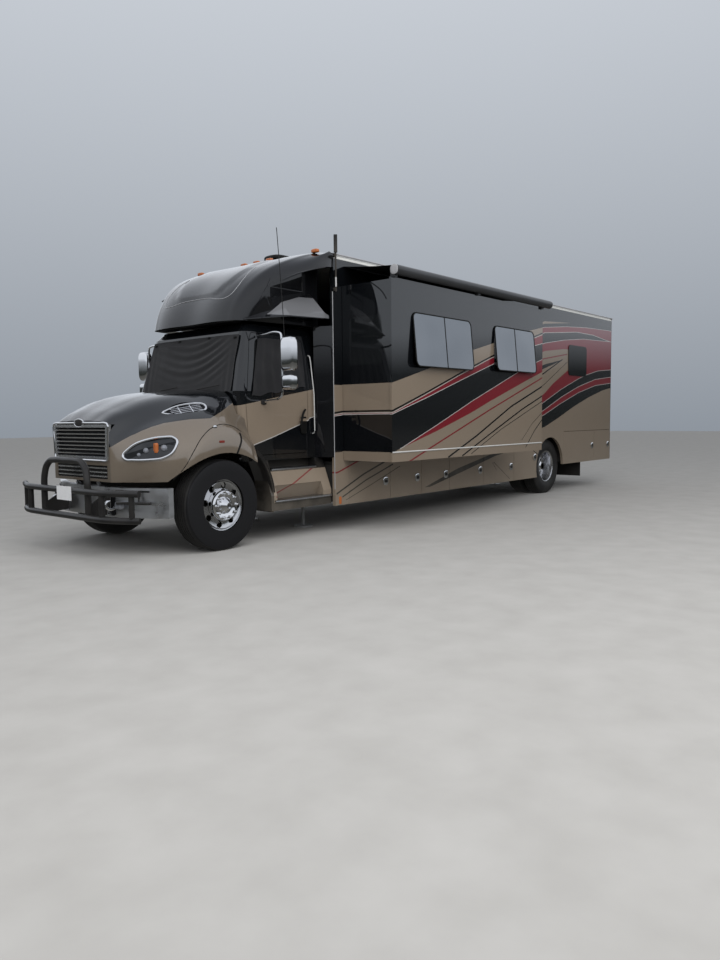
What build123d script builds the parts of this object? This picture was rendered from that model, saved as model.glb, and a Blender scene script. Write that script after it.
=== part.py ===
from build123d import *
import math
import os

os.makedirs("parts", exist_ok=True)

# Directions: +X forward, +Y to the driver's side, +Z up. All modelling lengths are in millimetres
# from the front axle (x), the centreline (y) and the ground (z). The part's origin is below the
# middle of the whole vehicle, so each piece is shifted by these two values as it is written.

# Chassis sizes
wheelbase = 7978
tyre_radius = 518
tyre_width = 284
rim_radius = 300
bead_radius = 280.3
dual_spacing = 336
rail_y = 430
rail_height = 260
rail_flange = 80
rail_web = 9
rail_front = 850
rail_rear = -10650

# Living-box sizes
house_front = -1790
house_rear = -10870
house_half = 1270
wall_thickness = 50
skirt_bottom = 345
rear_skirt_bottom = 535
roof_edge = 3580
roof_crown = 26
roof_thickness = 60
floor_top = 915
floor_thickness = 55
rear_arch_radius = 560
rear_arch_x = 48 - wheelbase
arch_front = rear_arch_x + 550
arch_rear = rear_arch_x - 570
front_tyre_y = house_half - 225
rear_outer_tyre_y = house_half - 230
kingpin_y = front_tyre_y - 195
rail_bottom = floor_top - floor_thickness - rail_height - 0.3
panel_gap = 7

# Slide-out room sizes
slide_front = -1942
slide_rear = -5943
slide_face_y = 2095
slide_bottom = 930
slide_top = 3205
slide_wall = 30
slide_flange = 18

# Cab sizes
cab_rear = -1740
cab_half = 1015
cab_wall = 45
fender_half = house_half - 70
arch_radius = 900
arch_top = 1113
hood_front = 1045
hood_rear = -352
hood_skin = 14
bumper_front = 970
bumper_top = 758
bumper_bottom = 431
guard_reach = 1330

mid_x = (guard_reach + 25 + house_rear) / 2
mid_y = (slide_face_y + 105 - 1550) / 2


def save(builder, label):
    """Shift a finished piece to the part's origin, label it and write its STEP file."""
    piece = builder.part.moved(Location((-mid_x, -mid_y, 0)))
    piece.label = label
    export_step(piece, f"parts/{label}.step")


def side_name(side):
    return "left" if side > 0 else "right"


# Frame rails: two channel rails with cross-members and the rear hitch receiver
with BuildPart() as frame_rails:
    for side in (1, -1):
        with BuildSketch(Plane.YZ.offset(rail_rear)) as channel:
            with Locations((side * rail_y, rail_bottom + rail_height / 2)):
                Rectangle(rail_flange, rail_height)
            with Locations((side * (rail_y - rail_web), rail_bottom + rail_height / 2)):
                Rectangle(rail_flange, rail_height - 2 * rail_web, mode=Mode.SUBTRACT)
        extrude(amount=rail_front - rail_rear)
    for cross_x in (760, -1700, -3300, -5300, -7000, -8900, -10600):
        with BuildSketch(Plane.YZ.offset(cross_x)):
            with Locations((0, rail_bottom + rail_height / 2)):
                Rectangle(2 * (rail_y + rail_flange / 2 - rail_web), 120)
        extrude(amount=60)
    receiver_z = rear_skirt_bottom - 49
    with BuildSketch(Plane.YZ.offset(rail_rear - 190)):
        with Locations((0, receiver_z)):
            Rectangle(90, 90)
            Rectangle(52, 52, mode=Mode.SUBTRACT)
    extrude(amount=330)
    with BuildSketch(Plane.YZ.offset(rail_rear + 40)):
        with Locations((0, (receiver_z + 45 + rail_bottom) / 2 + 10)):
            Rectangle(2 * rail_y + rail_flange, rail_bottom - receiver_z - 45 + 20)
    extrude(amount=12)
save(frame_rails, "frame_rails")

# Axles: the front beam between the kingpins, the rear drive housing, their leaf springs and the
# shaft that runs between the engine and the rear housing
spring_half = 690
spring_width = 76
with BuildPart() as axles:
    with BuildSketch(Plane.XZ) as beam:
        with Locations((0, tyre_radius - 85)):
            Rectangle(110, 90)
            Rectangle(110, 50, mode=Mode.SUBTRACT)
        with Locations((0, tyre_radius - 85)):
            Rectangle(24, 60)
    extrude(amount=kingpin_y - 70, both=True)
    for side in (1, -1):
        with Locations((0, side * (kingpin_y - 71.65), tyre_radius - 45)):
            Box(100, 66.7, 170)
    for axle_x in (0, -wheelbase):
        for side in (1, -1):
            with BuildSketch(Plane.XZ.offset(-side * rail_y)):
                with BuildLine():
                    ends = rail_bottom - 25
                    low = tyre_radius - 40
                    ThreePointArc((axle_x - spring_half, ends), (axle_x, low), (axle_x + spring_half, ends))
                    Line((axle_x + spring_half, ends), (axle_x + spring_half, ends + 20))
                    ThreePointArc((axle_x + spring_half, ends + 20), (axle_x, low + 62),
                                  (axle_x - spring_half, ends + 20))
                    Line((axle_x - spring_half, ends + 20), (axle_x - spring_half, ends))
                make_face()
            extrude(amount=spring_width / 2, both=True)
            for end in (1, -1):
                with Locations((axle_x + end * (spring_half - 20), side * rail_y, rail_bottom - 12)):
                    Box(60, 50, 24)
    with Locations((-wheelbase, 0, tyre_radius)):
        Cylinder(72, 2 * (rear_outer_tyre_y - dual_spacing - tyre_width / 2 - 20), rotation=(90, 0, 0))
    with Locations((-wheelbase, 0, tyre_radius)):
        Cylinder(63.7, 2 * (rear_outer_tyre_y + 50), rotation=(90, 0, 0))
    for way in (1, -1):
        with BuildSketch(Plane.XZ):
            with Locations((-wheelbase, tyre_radius)):
                RegularPolygon(205, 20)
        extrude(amount=way * 120, taper=35)
    with Locations((-wheelbase + 215, 0, tyre_radius)):
        Cylinder(80, 130, rotation=(0, 90, 0))
    with BuildSketch(Plane.YZ.offset(-wheelbase + 250)):
        with Locations((0, tyre_radius + 10)):
            Circle(48)
    extrude(amount=wheelbase - 250 - 1560)
save(axles, "axles")

# Engine, gearbox and radiator: closed inside, so one plain block each at their real places
with BuildPart() as engine_block:
    with Locations((180, 0, 1130)):
        Box(960, 520, 640)
    with Locations((-660, 0, 790)):
        Box(720, 380, 340)
    with Locations((-1240, 0, 620)):
        Box(500, 260, 300)
    with Locations((850, 0, 1150)):
        Box(90, 820, 580)
    with Locations((730, 0, 1130)):
        Cylinder(60, 170, rotation=(0, 90, 0))
save(engine_block, "engine_block")

# Exhaust: silencer and tail pipe hung inside the right rail
exhaust_y = -235
exhaust_z = 450
with BuildPart() as exhaust:
    with Locations((-2700, exhaust_y, exhaust_z)):
        Cylinder(110, 1100, rotation=(0, 90, 0))
    with Locations((-4900, exhaust_y, exhaust_z)):
        Cylinder(50, 3400, rotation=(0, 90, 0))
    for strap_x in (-2400, -3000, -5200):
        with Locations((strap_x, (exhaust_y - rail_y) / 2, rail_bottom - 6.3)):
            Box(40, rail_y + exhaust_y + 40, 12)
        with Locations((strap_x, exhaust_y - 6, (rail_bottom + exhaust_z) / 2)):
            Box(40, 12, rail_bottom - exhaust_z - 10)
save(exhaust, "exhaust")

# Levelling jacks: four hydraulic legs on plates bolted to the rails, down on their foot pads
rear_jack_x = -wheelbase - 1022
jack_places = ((-1900, 560), (-1900, -560), (rear_jack_x, 560), (rear_jack_x, -560))
rail_face = rail_y + rail_flange / 2
with BuildPart() as levelling_jacks:
    for jack_x, jack_y in jack_places:
        side = 1 if jack_y > 0 else -1
        reach = abs(jack_y) - rail_face - 0.3
        with Locations((jack_x, jack_y, 510)):
            Cylinder(42, 420)
        with Locations((jack_x, jack_y, 160)):
            Cylinder(22, 290)
        with Locations((jack_x, jack_y, 11)):
            Cylinder(125, 22)
        with Locations((jack_x, side * (rail_face + 0.3 + reach / 2), 690)):
            Box(150, reach, 16)
        with Locations((jack_x, side * (rail_face + 7.3), 740)):
            Box(150, 14, 170)
save(levelling_jacks, "levelling_jacks")

# Mud flap: a rubber guard across the whole width behind the rear axle, hung from the rails
flap_x = -wheelbase - 1442
with BuildPart() as mud_flap:
    with Locations((flap_x, 0, 385)):
        Box(12, 2 * house_half - 120, 290)
    with Locations((flap_x, 0, 548)):
        Box(40, 2 * house_half - 120, 44)
    for side in (1, -1):
        with Locations((flap_x, side * rail_y, (560 + rail_bottom) / 2)):
            Box(30, 60, rail_bottom - 560.6)
save(mud_flap, "mud_flap")


# Wheels
def tyre(axial, crown=tyre_radius):
    """Sketch points of a tyre section: radius against distance along the axle."""
    half = tyre_width / 2
    points = [(bead_radius, -half + 58), (bead_radius + 118, -half), (crown - 44, -half + 4), (crown, -half + 40),
              (crown, half - 40), (crown - 44, half - 4), (bead_radius + 118, half), (bead_radius, half - 58)]
    return [(r, axial + w) for r, w in points]


ring_sides = 36


def spun(points, x):
    """A ring about the axle at x from a closed section (radius, y), turned in flat steps of ten degrees."""
    turn = 2 * math.pi / ring_sides
    rows = []
    for step in range(ring_sides):
        across = math.sin(step * turn)
        down = math.cos(step * turn)
        rows.append([Vector(x + radius * across, y, tyre_radius - radius * down) for radius, y in points])
    faces = []
    for step in range(ring_sides):
        here = rows[step]
        after = rows[(step + 1) % ring_sides]
        for index in range(len(points)):
            other = (index + 1) % len(points)
            faces.append(Face(Wire.make_polygon([here[index], here[other], after[other], after[index]])))
    return Solid(Shell(faces))


cover_thickness = 5
cover_radius = 508
cover_hole = 292
for side in (1, -1):
    outer_face = front_tyre_y + tyre_width / 2
    near = side * (outer_face + 0.3)
    far = side * (outer_face + cover_thickness)
    with BuildPart() as tyre_front:
        add(spun(tyre(side * front_tyre_y), 0))
        add(spun([(cover_hole, near), (cover_radius, near), (cover_radius, far), (cover_hole, far)], 0))
    save(tyre_front, f"tyre_front_{side_name(side)}")
    with BuildPart() as tyres_rear:
        for axial in (rear_outer_tyre_y, rear_outer_tyre_y - dual_spacing):
            add(spun(tyre(side * axial), -wheelbase))
    save(tyres_rear, f"tyres_rear_{side_name(side)}")


seat_radius = bead_radius - 0.3


def rim_section(side, centre, dish):
    """Half section of a disc wheel: barrel, outer lip and a dished disc with its hub."""
    half = tyre_width / 2 - 24
    lip = centre + half
    disc = centre + dish
    hub = disc + (55 if dish > 0 else 150)
    throat = max(lip - 26, disc + 1)
    points = [(rim_radius, lip), (rim_radius, lip - 12), (seat_radius, lip - 30), (seat_radius, centre - half),
              (seat_radius - 16, centre - half), (seat_radius - 16, disc - 24), (50, disc - 24), (50, hub),
              (118, hub), (132, disc), (seat_radius - 20, disc), (seat_radius - 19, throat), (rim_radius - 16, lip)]
    return [(radius, side * axial) for radius, axial in points]


front_dish = 95
rear_dish = -85
for side in (1, -1):
    with BuildPart() as rim_front:
        add(spun(rim_section(side, front_tyre_y, front_dish), 0))
        with BuildSketch(Plane.XZ.offset(-side * (front_tyre_y + front_dish + 30))):
            with Locations((0, tyre_radius)):
                with PolarLocations(195, 10):
                    RegularPolygon(27, 12)
        extrude(amount=side * 90, mode=Mode.SUBTRACT)
        with Locations((0, side * front_tyre_y, tyre_radius)):
            Cylinder(64, 500, rotation=(90, 0, 0), mode=Mode.SUBTRACT)
    save(rim_front, f"rim_front_{side_name(side)}")
    with BuildPart() as rims_rear:
        add(spun(rim_section(side, rear_outer_tyre_y, rear_dish), -wheelbase))
        inner_centre = rear_outer_tyre_y - dual_spacing
        half = tyre_width / 2 - 24
        inner_rim = [(seat_radius, -half), (seat_radius, half), (seat_radius - 16, half), (seat_radius - 16, 120),
                     (50, 120), (50, 96), (seat_radius - 16, 96), (seat_radius - 16, -half)]
        add(spun([(radius, side * (inner_centre + axial)) for radius, axial in inner_rim], -wheelbase))
        spacer = [(50, inner_centre + 118), (150, inner_centre + 118), (150, rear_outer_tyre_y + rear_dish - 22),
                  (50, rear_outer_tyre_y + rear_dish - 22)]
        add(spun([(radius, side * axial) for radius, axial in spacer], -wheelbase))
        with Locations((-wheelbase, side * rear_outer_tyre_y, tyre_radius)):
            Cylinder(64, 900, rotation=(90, 0, 0), mode=Mode.SUBTRACT)
    save(rims_rear, f"rims_rear_{side_name(side)}")

# Steering knuckles: kingpin boss, stub axle and brake drum on each side
for side in (1, -1):
    with BuildPart() as knuckle:
        with Locations((0, side * kingpin_y, tyre_radius - 63)):
            Cylinder(38, 236)
        with BuildSketch(Plane.XZ.offset(-side * (kingpin_y + 20))):
            with Locations((0, tyre_radius)):
                Circle(63.7)
        extrude(amount=-side * (front_tyre_y + front_dish - kingpin_y + 40))
        with BuildSketch(Plane.XZ.offset(-side * (kingpin_y + 60))):
            with Locations((0, tyre_radius)):
                RegularPolygon(205, 24)
        extrude(amount=-side * 130)
        with Locations((-112, side * (kingpin_y - 8), tyre_radius - 158)):
            Box(258, 40, 34)
    save(knuckle, f"knuckle_{side_name(side)}")

# Bumper: a chromed pressing, swept back at both ends and open behind
bumper_skin = 8
guard_pivot_x = 1010
guard_pivot_z = 475
hood_pivot_x = 985
hood_pivot_z = 800
hood_hinge_y = 218
with BuildPart() as bumper:
    with BuildSketch(Plane.XY.offset(bumper_bottom)):
        with BuildLine():
            Polyline((640, 1130), (705, 1130), (900, 760))
            ThreePointArc((900, 760), (bumper_front - 8, 520), (bumper_front, 0))
            ThreePointArc((bumper_front, 0), (bumper_front - 8, -520), (900, -760))
            Polyline((900, -760), (705, -1130), (640, -1130))
            Polyline((640, -1130), (860, -600), (860, 600), (640, 1130))
        make_face()
    extrude(amount=bumper_top - bumper_bottom)
    with BuildSketch(Plane.XY.offset(bumper_bottom + bumper_skin)):
        with BuildLine():
            Polyline((630, 1122), (700, 1122), (892, 755))
            ThreePointArc((892, 755), (bumper_front - 16, 520), (bumper_front - 8, 0))
            ThreePointArc((bumper_front - 8, 0), (bumper_front - 16, -520), (892, -755))
            Polyline((892, -755), (700, -1122), (630, -1122), (630, 1122))
        make_face()
    extrude(amount=bumper_top - bumper_bottom - 2 * bumper_skin, mode=Mode.SUBTRACT)
    for side in (1, -1):
        with Locations(((rail_front + 0.3 + bumper_front - 4) / 2, side * rail_y, 675)):
            Box(bumper_front - 4.3 - rail_front, 70, 130)
        with Locations((992, side * (rail_y + 24.3), guard_pivot_z)):
            Box(68, 12, 60)
        with Locations((guard_pivot_x, side * (rail_y + 24.3), guard_pivot_z)):
            Cylinder(12, 14, rotation=(90, 0, 0), mode=Mode.SUBTRACT)
        with BuildSketch(Plane.XZ.offset(-side * (hood_hinge_y - 6))):
            with BuildLine():
                Polyline((935, bumper_top - 3), (965, bumper_top - 3), (997, 792), (997, 808), (975, 812),
                         (935, 775), close=True)
            make_face()
            with Locations((hood_pivot_x, hood_pivot_z)):
                Circle(8, mode=Mode.SUBTRACT)
        extrude(amount=-side * 12)
save(bumper, "bumper")

# Front guard: bent tube in front of the bumper, carried by two plates on the bumper brackets
guard_tube = 27
guard_low = 455
guard_high = 735
guard_mid = guard_reach - guard_tube


def tube(points, radius, bend):
    """Sweep a round tube, drawn with twelve flats, along a polyline with tangent bends."""
    with BuildLine() as route:
        FilletPolyline(*points, radius=bend)
    with BuildSketch(Plane(origin=route.line @ 0, z_dir=route.line % 0)) as ring:
        RegularPolygon(radius, 12)
    sweep(ring.sketch, path=route.line)


with BuildPart() as guard:
    for height, end_x, end_y in ((guard_high, 1115, 1205), (guard_low, 1095, 1180)):
        tube([(end_x, end_y, height), (guard_mid, 760, height), (guard_mid, -760, height), (end_x, -end_y, height)],
             guard_tube, 180)
    tube([(guard_mid - 40, 466, guard_low), (guard_mid - 40, 466, 800), (guard_mid - 60, 290, 1050),
          (guard_mid - 60, -290, 1050), (guard_mid - 40, -466, 800), (guard_mid - 40, -466, guard_low)],
         guard_tube, 90)
    for side in (1, -1):
        for post_y, post_x in ((760, guard_mid - 22), (1112, 1146)):
            with BuildSketch(Plane.XY.offset(guard_low + 4)):
                with Locations((post_x, side * post_y)):
                    RegularPolygon(guard_tube - 3, 12)
            extrude(amount=guard_high - guard_low - 8)
        with Locations((guard_pivot_x, side * (rail_y + 19), guard_pivot_z)):
            Cylinder(11.7, 24, rotation=(90, 0, 0))
        with BuildSketch(Plane.XZ.offset(-side * (rail_y + 6))):
            with BuildLine():
                Polyline((bumper_front + 12, 459), (guard_mid - 20, 434), (guard_mid - 20, 560),
                         (bumper_front + 60, 700), (bumper_front + 12, 700), close=True)
            make_face()
        extrude(amount=-side * 12)
save(guard, "guard")

# Hood: one tilting moulding with both front fenders. Each row is one station of it: the distance from the
# axle, then half of its outline as (distance from the middle, height) from the top down to the fender side
hood_bottom = 822
hood_low = 700
hood_sections = (
    (1045, ((0, 1492), (270, 1490), (520, 1450), (578, 1280), (590, 1200), (596, 1050), (600, hood_low))),
    (960, ((0, 1562), (300, 1560), (540, 1500), (610, 1330), (665, 1240), (705, 1120), (712, hood_low))),
    (820, ((0, 1640), (330, 1632), (585, 1565), (690, 1410), (800, 1330), (905, 1190), (918, hood_low))),
    (600, ((0, 1730), (370, 1722), (630, 1655), (790, 1505), (970, 1405), (1090, 1250), (1105, hood_low))),
    (300, ((0, 1800), (400, 1790), (690, 1735), (893, 1600), (1065, 1480), (1185, 1330), (1195, hood_low))),
    (0, ((0, 1833), (430, 1826), (730, 1775), (925, 1655), (1095, 1515), (1200, 1370), (1200, hood_low))),
    (-200, ((0, 1846), (450, 1840), (800, 1790), (940, 1690), (1095, 1500), (1200, 1340), (1200, hood_low))),
    (-468, ((0, 1854), (470, 1848), (850, 1805), (975, 1640), (1085, 1330), (1200, 1150), (1200, hood_low))),
)


def hood_outline(half, inset):
    """Both halves of one station, moved in by the inset along the outline's own normals."""
    moved = []
    for index, (y, z) in enumerate(half):
        before = half[index - 1] if index else (-half[1][0], half[1][1])
        after = half[index + 1] if index + 1 < len(half) else (y, z - 100)
        along_y = after[0] - before[0]
        along_z = after[1] - before[1]
        size = math.hypot(along_y, along_z)
        moved.append((y + inset * along_z / size, z - inset * along_y / size))
    return moved + [(-y, z) for y, z in reversed(moved[1:])]


def hood_volume(inset):
    """The whole form of hood and fenders, all faces moved in by the inset."""
    with BuildPart() as volume:
        for x, half in hood_sections:
            station = x - inset if x == hood_sections[0][0] else x
            station = x - 2 * abs(inset) if x == hood_sections[-1][0] else station
            widened = [(y * fender_half / 1200, z) for y, z in half]
            with BuildSketch(Plane.YZ.offset(station)):
                with BuildLine():
                    Polyline(*hood_outline(widened, inset), close=True)
                make_face()
        loft(ruled=True)
    return volume.part


lamp_outline = ((700, 1100), (722, 1166), (792, 1228), (903, 1279), (1010, 1300), (1072, 1295), (1112, 1262),
                (1114, 1195), (1098, 1120), (1040, 1076), (935, 1066), (725, 1070))


def lamp_prism(shrink):
    """Front-view outline of both headlights as prisms that reach back through the fenders."""
    with BuildPart() as prism:
        with BuildSketch(Plane.YZ.offset(350)):
            for side in (1, -1):
                with BuildLine():
                    Polyline(*[(side * y, z) for y, z in lamp_outline], close=True)
                make_face()
            if shrink:
                offset(amount=-shrink, kind=Kind.INTERSECTION, mode=Mode.REPLACE)
        extrude(amount=900)
    return prism.part


def vent_plane(side):
    """The plane of the oval vent in the flank of the hood, its first direction forwards."""
    return Plane(origin=(262, side * 860, 1597), x_dir=(0.946, side * -0.287, -0.151),
                 z_dir=(0.290, side * 0.542, 0.789))


def vent_outline(shrink):
    """A leaf of three arcs: a round rear end and two long sides that meet in front."""
    with BuildSketch() as leaf:
        with BuildLine():
            ThreePointArc((268 - shrink, 0), (20, 94 - shrink), (-205, 72 - shrink))
            ThreePointArc((-205, 72 - shrink), (-262 + shrink, 0), (-205, -72 + shrink))
            ThreePointArc((-205, -72 + shrink), (20, -94 + shrink), (268 - shrink, 0))
        make_face()
    return leaf.sketch


with BuildPart() as hood:
    add(hood_volume(0))
    add(hood_volume(hood_skin), mode=Mode.SUBTRACT)
    for side in (1, -1):
        with BuildSketch(Plane.XZ.offset(-side * 620)):
            with Locations((0, arch_top - arch_radius)):
                Circle(arch_radius)
            with Locations((0, 1100)):
                Rectangle(1460, 1200, mode=Mode.INTERSECT)
        extrude(amount=-side * 780, mode=Mode.SUBTRACT)
    with Locations((0, 0, hood_bottom - 100)):
        Box(2400, 2600, 200, mode=Mode.SUBTRACT)
    with BuildSketch(Plane.YZ.offset(900)):
        with BuildLine():
            Polyline((-545, 1060), (545, 1060), (568, 1445), (-568, 1445), close=True)
        make_face()
        with Locations((0, 926)):
            Rectangle(1060, 148)
    extrude(amount=300, mode=Mode.SUBTRACT)
    for side in (1, -1):
        with BuildSketch(Plane.XZ.offset(-side * (hood_hinge_y - 31))):
            with BuildLine():
                Polyline((1040, 824), (1040, 848), (1000, 848), (972, 815), (970, 786), (1002, 786), close=True)
            make_face()
        extrude(amount=-side * 16)
        with Locations((hood_pivot_x, side * (hood_hinge_y - 8), hood_pivot_z)):
            Cylinder(7.7, 26, rotation=(90, 0, 0))
        opening = vent_plane(side) * vent_outline(0)
        extrude(opening, amount=60, both=True, mode=Mode.SUBTRACT)
    add(lamp_prism(0), mode=Mode.SUBTRACT)
    with Locations((hood_rear - 180, 0, 1200)):
        Box(360, 2 * (cab_half + 12), 1500, mode=Mode.SUBTRACT)
save(hood, "hood")


# Cab: one shell with its floor, bulkhead, pillars and roof; doors and glass are cut from the same form
cab_sections = ((980, -450, 1015), (1820, -385, 1015), (2540, -592, 912), (2640, -690, 850))


def cab_volume(inset):
    """Body of the cab with all outer faces moved in by the inset, open at the back."""
    with BuildPart() as volume:
        for z, front, half in cab_sections:
            height = z + inset if z == cab_sections[0][0] else z - inset * (z > 2000)
            with BuildSketch(Plane.XY.offset(height)) as section:
                with BuildLine():
                    f = front - inset
                    h = half - inset
                    r = 90
                    back = cab_rear - (20 if inset > 0 else 0)
                    Polyline((back, -h), (f - r, -h), (f - r / 2, -h + 0.134 * r), (f - 0.134 * r, -h + r / 2),
                             (f, -h + r), (f, h - r), (f - 0.134 * r, h - r / 2), (f - r / 2, h - 0.134 * r),
                             (f - r, h), (back, h), close=True)
                make_face()
        loft(ruled=True)
    return volume.part


door_outline = ((-545, 1045), (-505, 1700), (-662, 2470), (-700, 2530), (-1490, 2530), (-1560, 2460),
                (-1560, 1110), (-1500, 1045))
door_window = ((-612, 1778), (-742, 2420), (-770, 2452), (-1450, 2452), (-1490, 2412), (-1502, 1920))
windshield_outline = ((-870, 1875), (-800, 2440), (-760, 2470), (760, 2470), (800, 2440), (870, 1875), (820, 1850),
                      (-820, 1850))


def side_prism(outline, side, shrink=0, far=1300, near=600):
    """A side-view outline as a prism that reaches across one side of the cab."""
    with BuildPart() as prism:
        with BuildSketch(Plane.XZ.offset(-side * near)):
            with BuildLine():
                Polyline(*outline, close=True)
            make_face()
            if shrink:
                offset(amount=-shrink, kind=Kind.INTERSECTION, mode=Mode.REPLACE)
        extrude(amount=-side * (far - near))
    return prism.part


def front_prism(outline, shrink=0):
    """A front-view outline as a prism that reaches through the front of the cab."""
    with BuildPart() as prism:
        with BuildSketch(Plane.YZ.offset(-700)):
            with BuildLine():
                Polyline(*outline, close=True)
            make_face()
            if shrink:
                offset(amount=-shrink, kind=Kind.INTERSECTION, mode=Mode.REPLACE)
        extrude(amount=600)
    return prism.part


cab_outer = cab_volume(0)
cab_inner = cab_volume(cab_wall)
with BuildPart() as cab_shell:
    add(cab_outer)
    add(cab_inner, mode=Mode.SUBTRACT)
    for side in (1, -1):
        add(side_prism(door_outline, side), mode=Mode.SUBTRACT)
    add(front_prism(windshield_outline), mode=Mode.SUBTRACT)
save(cab_shell, "cab_shell")

with BuildPart() as windshield:
    add(cab_volume(10))
    add(cab_volume(17), mode=Mode.SUBTRACT)
    add(front_prism(windshield_outline, 0.3), mode=Mode.INTERSECT)
save(windshield, "windshield")

with BuildPart() as windshield_cover:
    add(cab_volume(-6))
    add(cab_volume(-0.3), mode=Mode.SUBTRACT)
    add(front_prism(windshield_outline, -40), mode=Mode.INTERSECT)
save(windshield_cover, "windshield_cover")

mirror_y = 1450
for side in (1, -1):
    with BuildPart() as door:
        add(cab_outer)
        add(cab_volume(58), mode=Mode.SUBTRACT)
        add(side_prism(door_outline, side, panel_gap), mode=Mode.INTERSECT)
        add(side_prism(door_window, side), mode=Mode.SUBTRACT)
        with Locations((-1475, side * (cab_half + 22), 1470)):
            Box(150, 18, 34)
        with Locations((-531.5, side * (cab_half - 3), 1328)):
            Cylinder(2.6, 24)
        with Locations((-537.5, side * (cab_half - 3), 1328)):
            Box(12, 4, 24)
        for foot_x in (-1535, -1415):
            with Locations((foot_x, side * (cab_half + 8), 1470)):
                Box(26, 20, 30)
    save(door, f"door_{side_name(side)}")
    with BuildPart() as door_glass:
        add(cab_volume(12))
        add(cab_volume(17), mode=Mode.SUBTRACT)
        add(side_prism(door_window, side, 0.3), mode=Mode.INTERSECT)
    save(door_glass, f"door_glass_{side_name(side)}")
    with BuildPart() as mirror:
        with Locations((-810, side * mirror_y, 2245)):
            Box(95, 215, 400)
        fillet(mirror.edges().filter_by(Axis.Z), radius=30)
        with Locations((-810, side * mirror_y, 1915)):
            Box(85, 205, 175)
        tube([(-790, side * (cab_half + 2.6), 1690), (-800, side * 1330, 1740), (-800, side * 1340, 2510),
              (-780, side * 944, 2490)], 14, 60)
        for arm_z in (1900, 2150, 2350):
            with Locations((-800, side * 1340, arm_z)):
                Box(26, 40, 26)
    save(mirror, f"mirror_{side_name(side)}")

# Steps below each cab door with the fairing that closes the side behind the front wheel
step_front = -720
lower_step_z = 475
upper_step_z = 860
with BuildPart() as step_fairings:
    for side in (1, -1):
        with BuildSketch(Plane.YZ.offset(-1785)):
            with BuildLine():
                Polyline((side * 700, 372), (side * fender_half, 372), (side * fender_half, 560),
                         (side * (fender_half - 160), 979.7), (side * 700, 979.7), close=True)
            make_face()
        extrude(amount=-1785 * -1 + step_front)
    for side in (1, -1):
        with Locations((-1225, side * (fender_half - 50), lower_step_z + 100)):
            Box(820, 220, 200, mode=Mode.SUBTRACT)
        with Locations((-1225, side * (fender_half - 140), upper_step_z + 80)):
            Box(820, 260, 160, mode=Mode.SUBTRACT)
        with Locations((-1225, side * 800, 650)):
            Box(1080, 210, 520, mode=Mode.SUBTRACT)
        for start, finish, near in ((143.4, 192, 905), (137, 146, cab_half + 8)):
            low_turn = math.radians(start)
            high_turn = math.radians(finish)
            half_turn = (low_turn + high_turn) / 2
            with BuildSketch(Plane.XZ.offset(-side * near)):
                with BuildLine():
                    ends = [[(radius * math.cos(turn), tyre_radius + radius * math.sin(turn)) for turn in
                             (low_turn, half_turn, high_turn)] for radius in (758, 770)]
                    ThreePointArc(*ends[0])
                    Line(ends[0][2], ends[1][2])
                    ThreePointArc(*reversed(ends[1]))
                    Line(ends[1][0], ends[0][0])
                make_face()
            extrude(amount=-side * (fender_half - 4 - near))
save(step_fairings, "step_fairings")

# Seats and dashboard, seen when a door is open
with BuildPart() as seats:
    for side in (1, -1):
        with Locations((-1120, side * 480, 1410)):
            Box(500, 480, 150)
        with Locations((-1370, side * 480, 1830)):
            Box(120, 480, 720)
        with Locations((-1120, side * 480, 1180.65)):
            Box(300, 300, 310.7)
        for arm in (1, -1):
            with Locations((-1180, side * 480 + arm * 264.3, 1600)):
                Box(340, 48, 50)
save(seats, "seats")

with BuildPart() as dashboard:
    with BuildSketch(Plane.XZ.offset(-875)):
        with BuildLine():
            Polyline((-472.9, 1300), (-432, 1800), (-620, 1815), (-760, 1760), (-780, 1640), (-640, 1300), close=True)
        make_face()
    extrude(amount=1750)
    with BuildSketch(Plane(origin=(-760, 480, 1640), z_dir=(-0.75, 0, 0.66))) as column:
        Circle(26)
    extrude(amount=150)
    with BuildSketch(Plane(origin=(-760, 480, 1640), z_dir=(-0.75, 0, 0.66)).offset(150)):
        Circle(225)
        Circle(200, mode=Mode.SUBTRACT)
        Rectangle(430, 40)
        Circle(60)
    extrude(amount=26)
save(dashboard, "dashboard")

# Nose cap over the cab: a hollow moulding, and the two corner fairings that run down from it between
# the cab and the wider living box
cap_sections = ((2668, -505, 815, 935), (2970, -622, 850, 1080), (3290, -925, 960, 1235), (3490, -1330, 1080, 1262),
                (3575, -1600, 1120, 1240))


def cap_volume(inset):
    """Body of the nose cap: plan sections that lean back and narrow towards the top."""
    with BuildPart() as volume:
        for index, (z, front, nose_half, shoulder_half) in enumerate(cap_sections):
            last = index == len(cap_sections) - 1
            with BuildSketch(Plane.XY.offset(z + (inset if index == 0 else -inset if last else 0))):
                with BuildLine():
                    f = front - inset
                    n = nose_half - inset
                    s = shoulder_half - inset
                    back = house_half - inset
                    Polyline((house_front, -back), (f - 0.55 * (f - house_front), -min(s + 60, back)), (f - 95, -n - 45))
                    ThreePointArc((f - 95, -n - 45), (f - 30, -n + 25), (f, -n + 130))
                    ThreePointArc((f, -n + 130), (f + 14, 0), (f, n - 130))
                    ThreePointArc((f, n - 130), (f - 30, n - 25), (f - 95, n + 45))
                    Polyline((f - 95, n + 45), (f - 0.55 * (f - house_front), min(s + 60, back)), (house_front, back),
                             (house_front, -back))
                make_face()
        loft(ruled=True)
    return volume.part


recess_y = 1000
recess_outline = ((-1900, 2600), (-560, 2600), (-640, 2760), (-711, 2881), (-801, 2981), (-956, 3145), (-1130, 3230),
                  (-1316, 3294), (-1649, 3385), (-1900, 3430))
with BuildPart() as cap_hollow:
    add(cap_volume(30))
    for side in (1, -1):
        add(side_prism(recess_outline, side, -30, 1400, recess_y - 30), mode=Mode.SUBTRACT)
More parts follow.
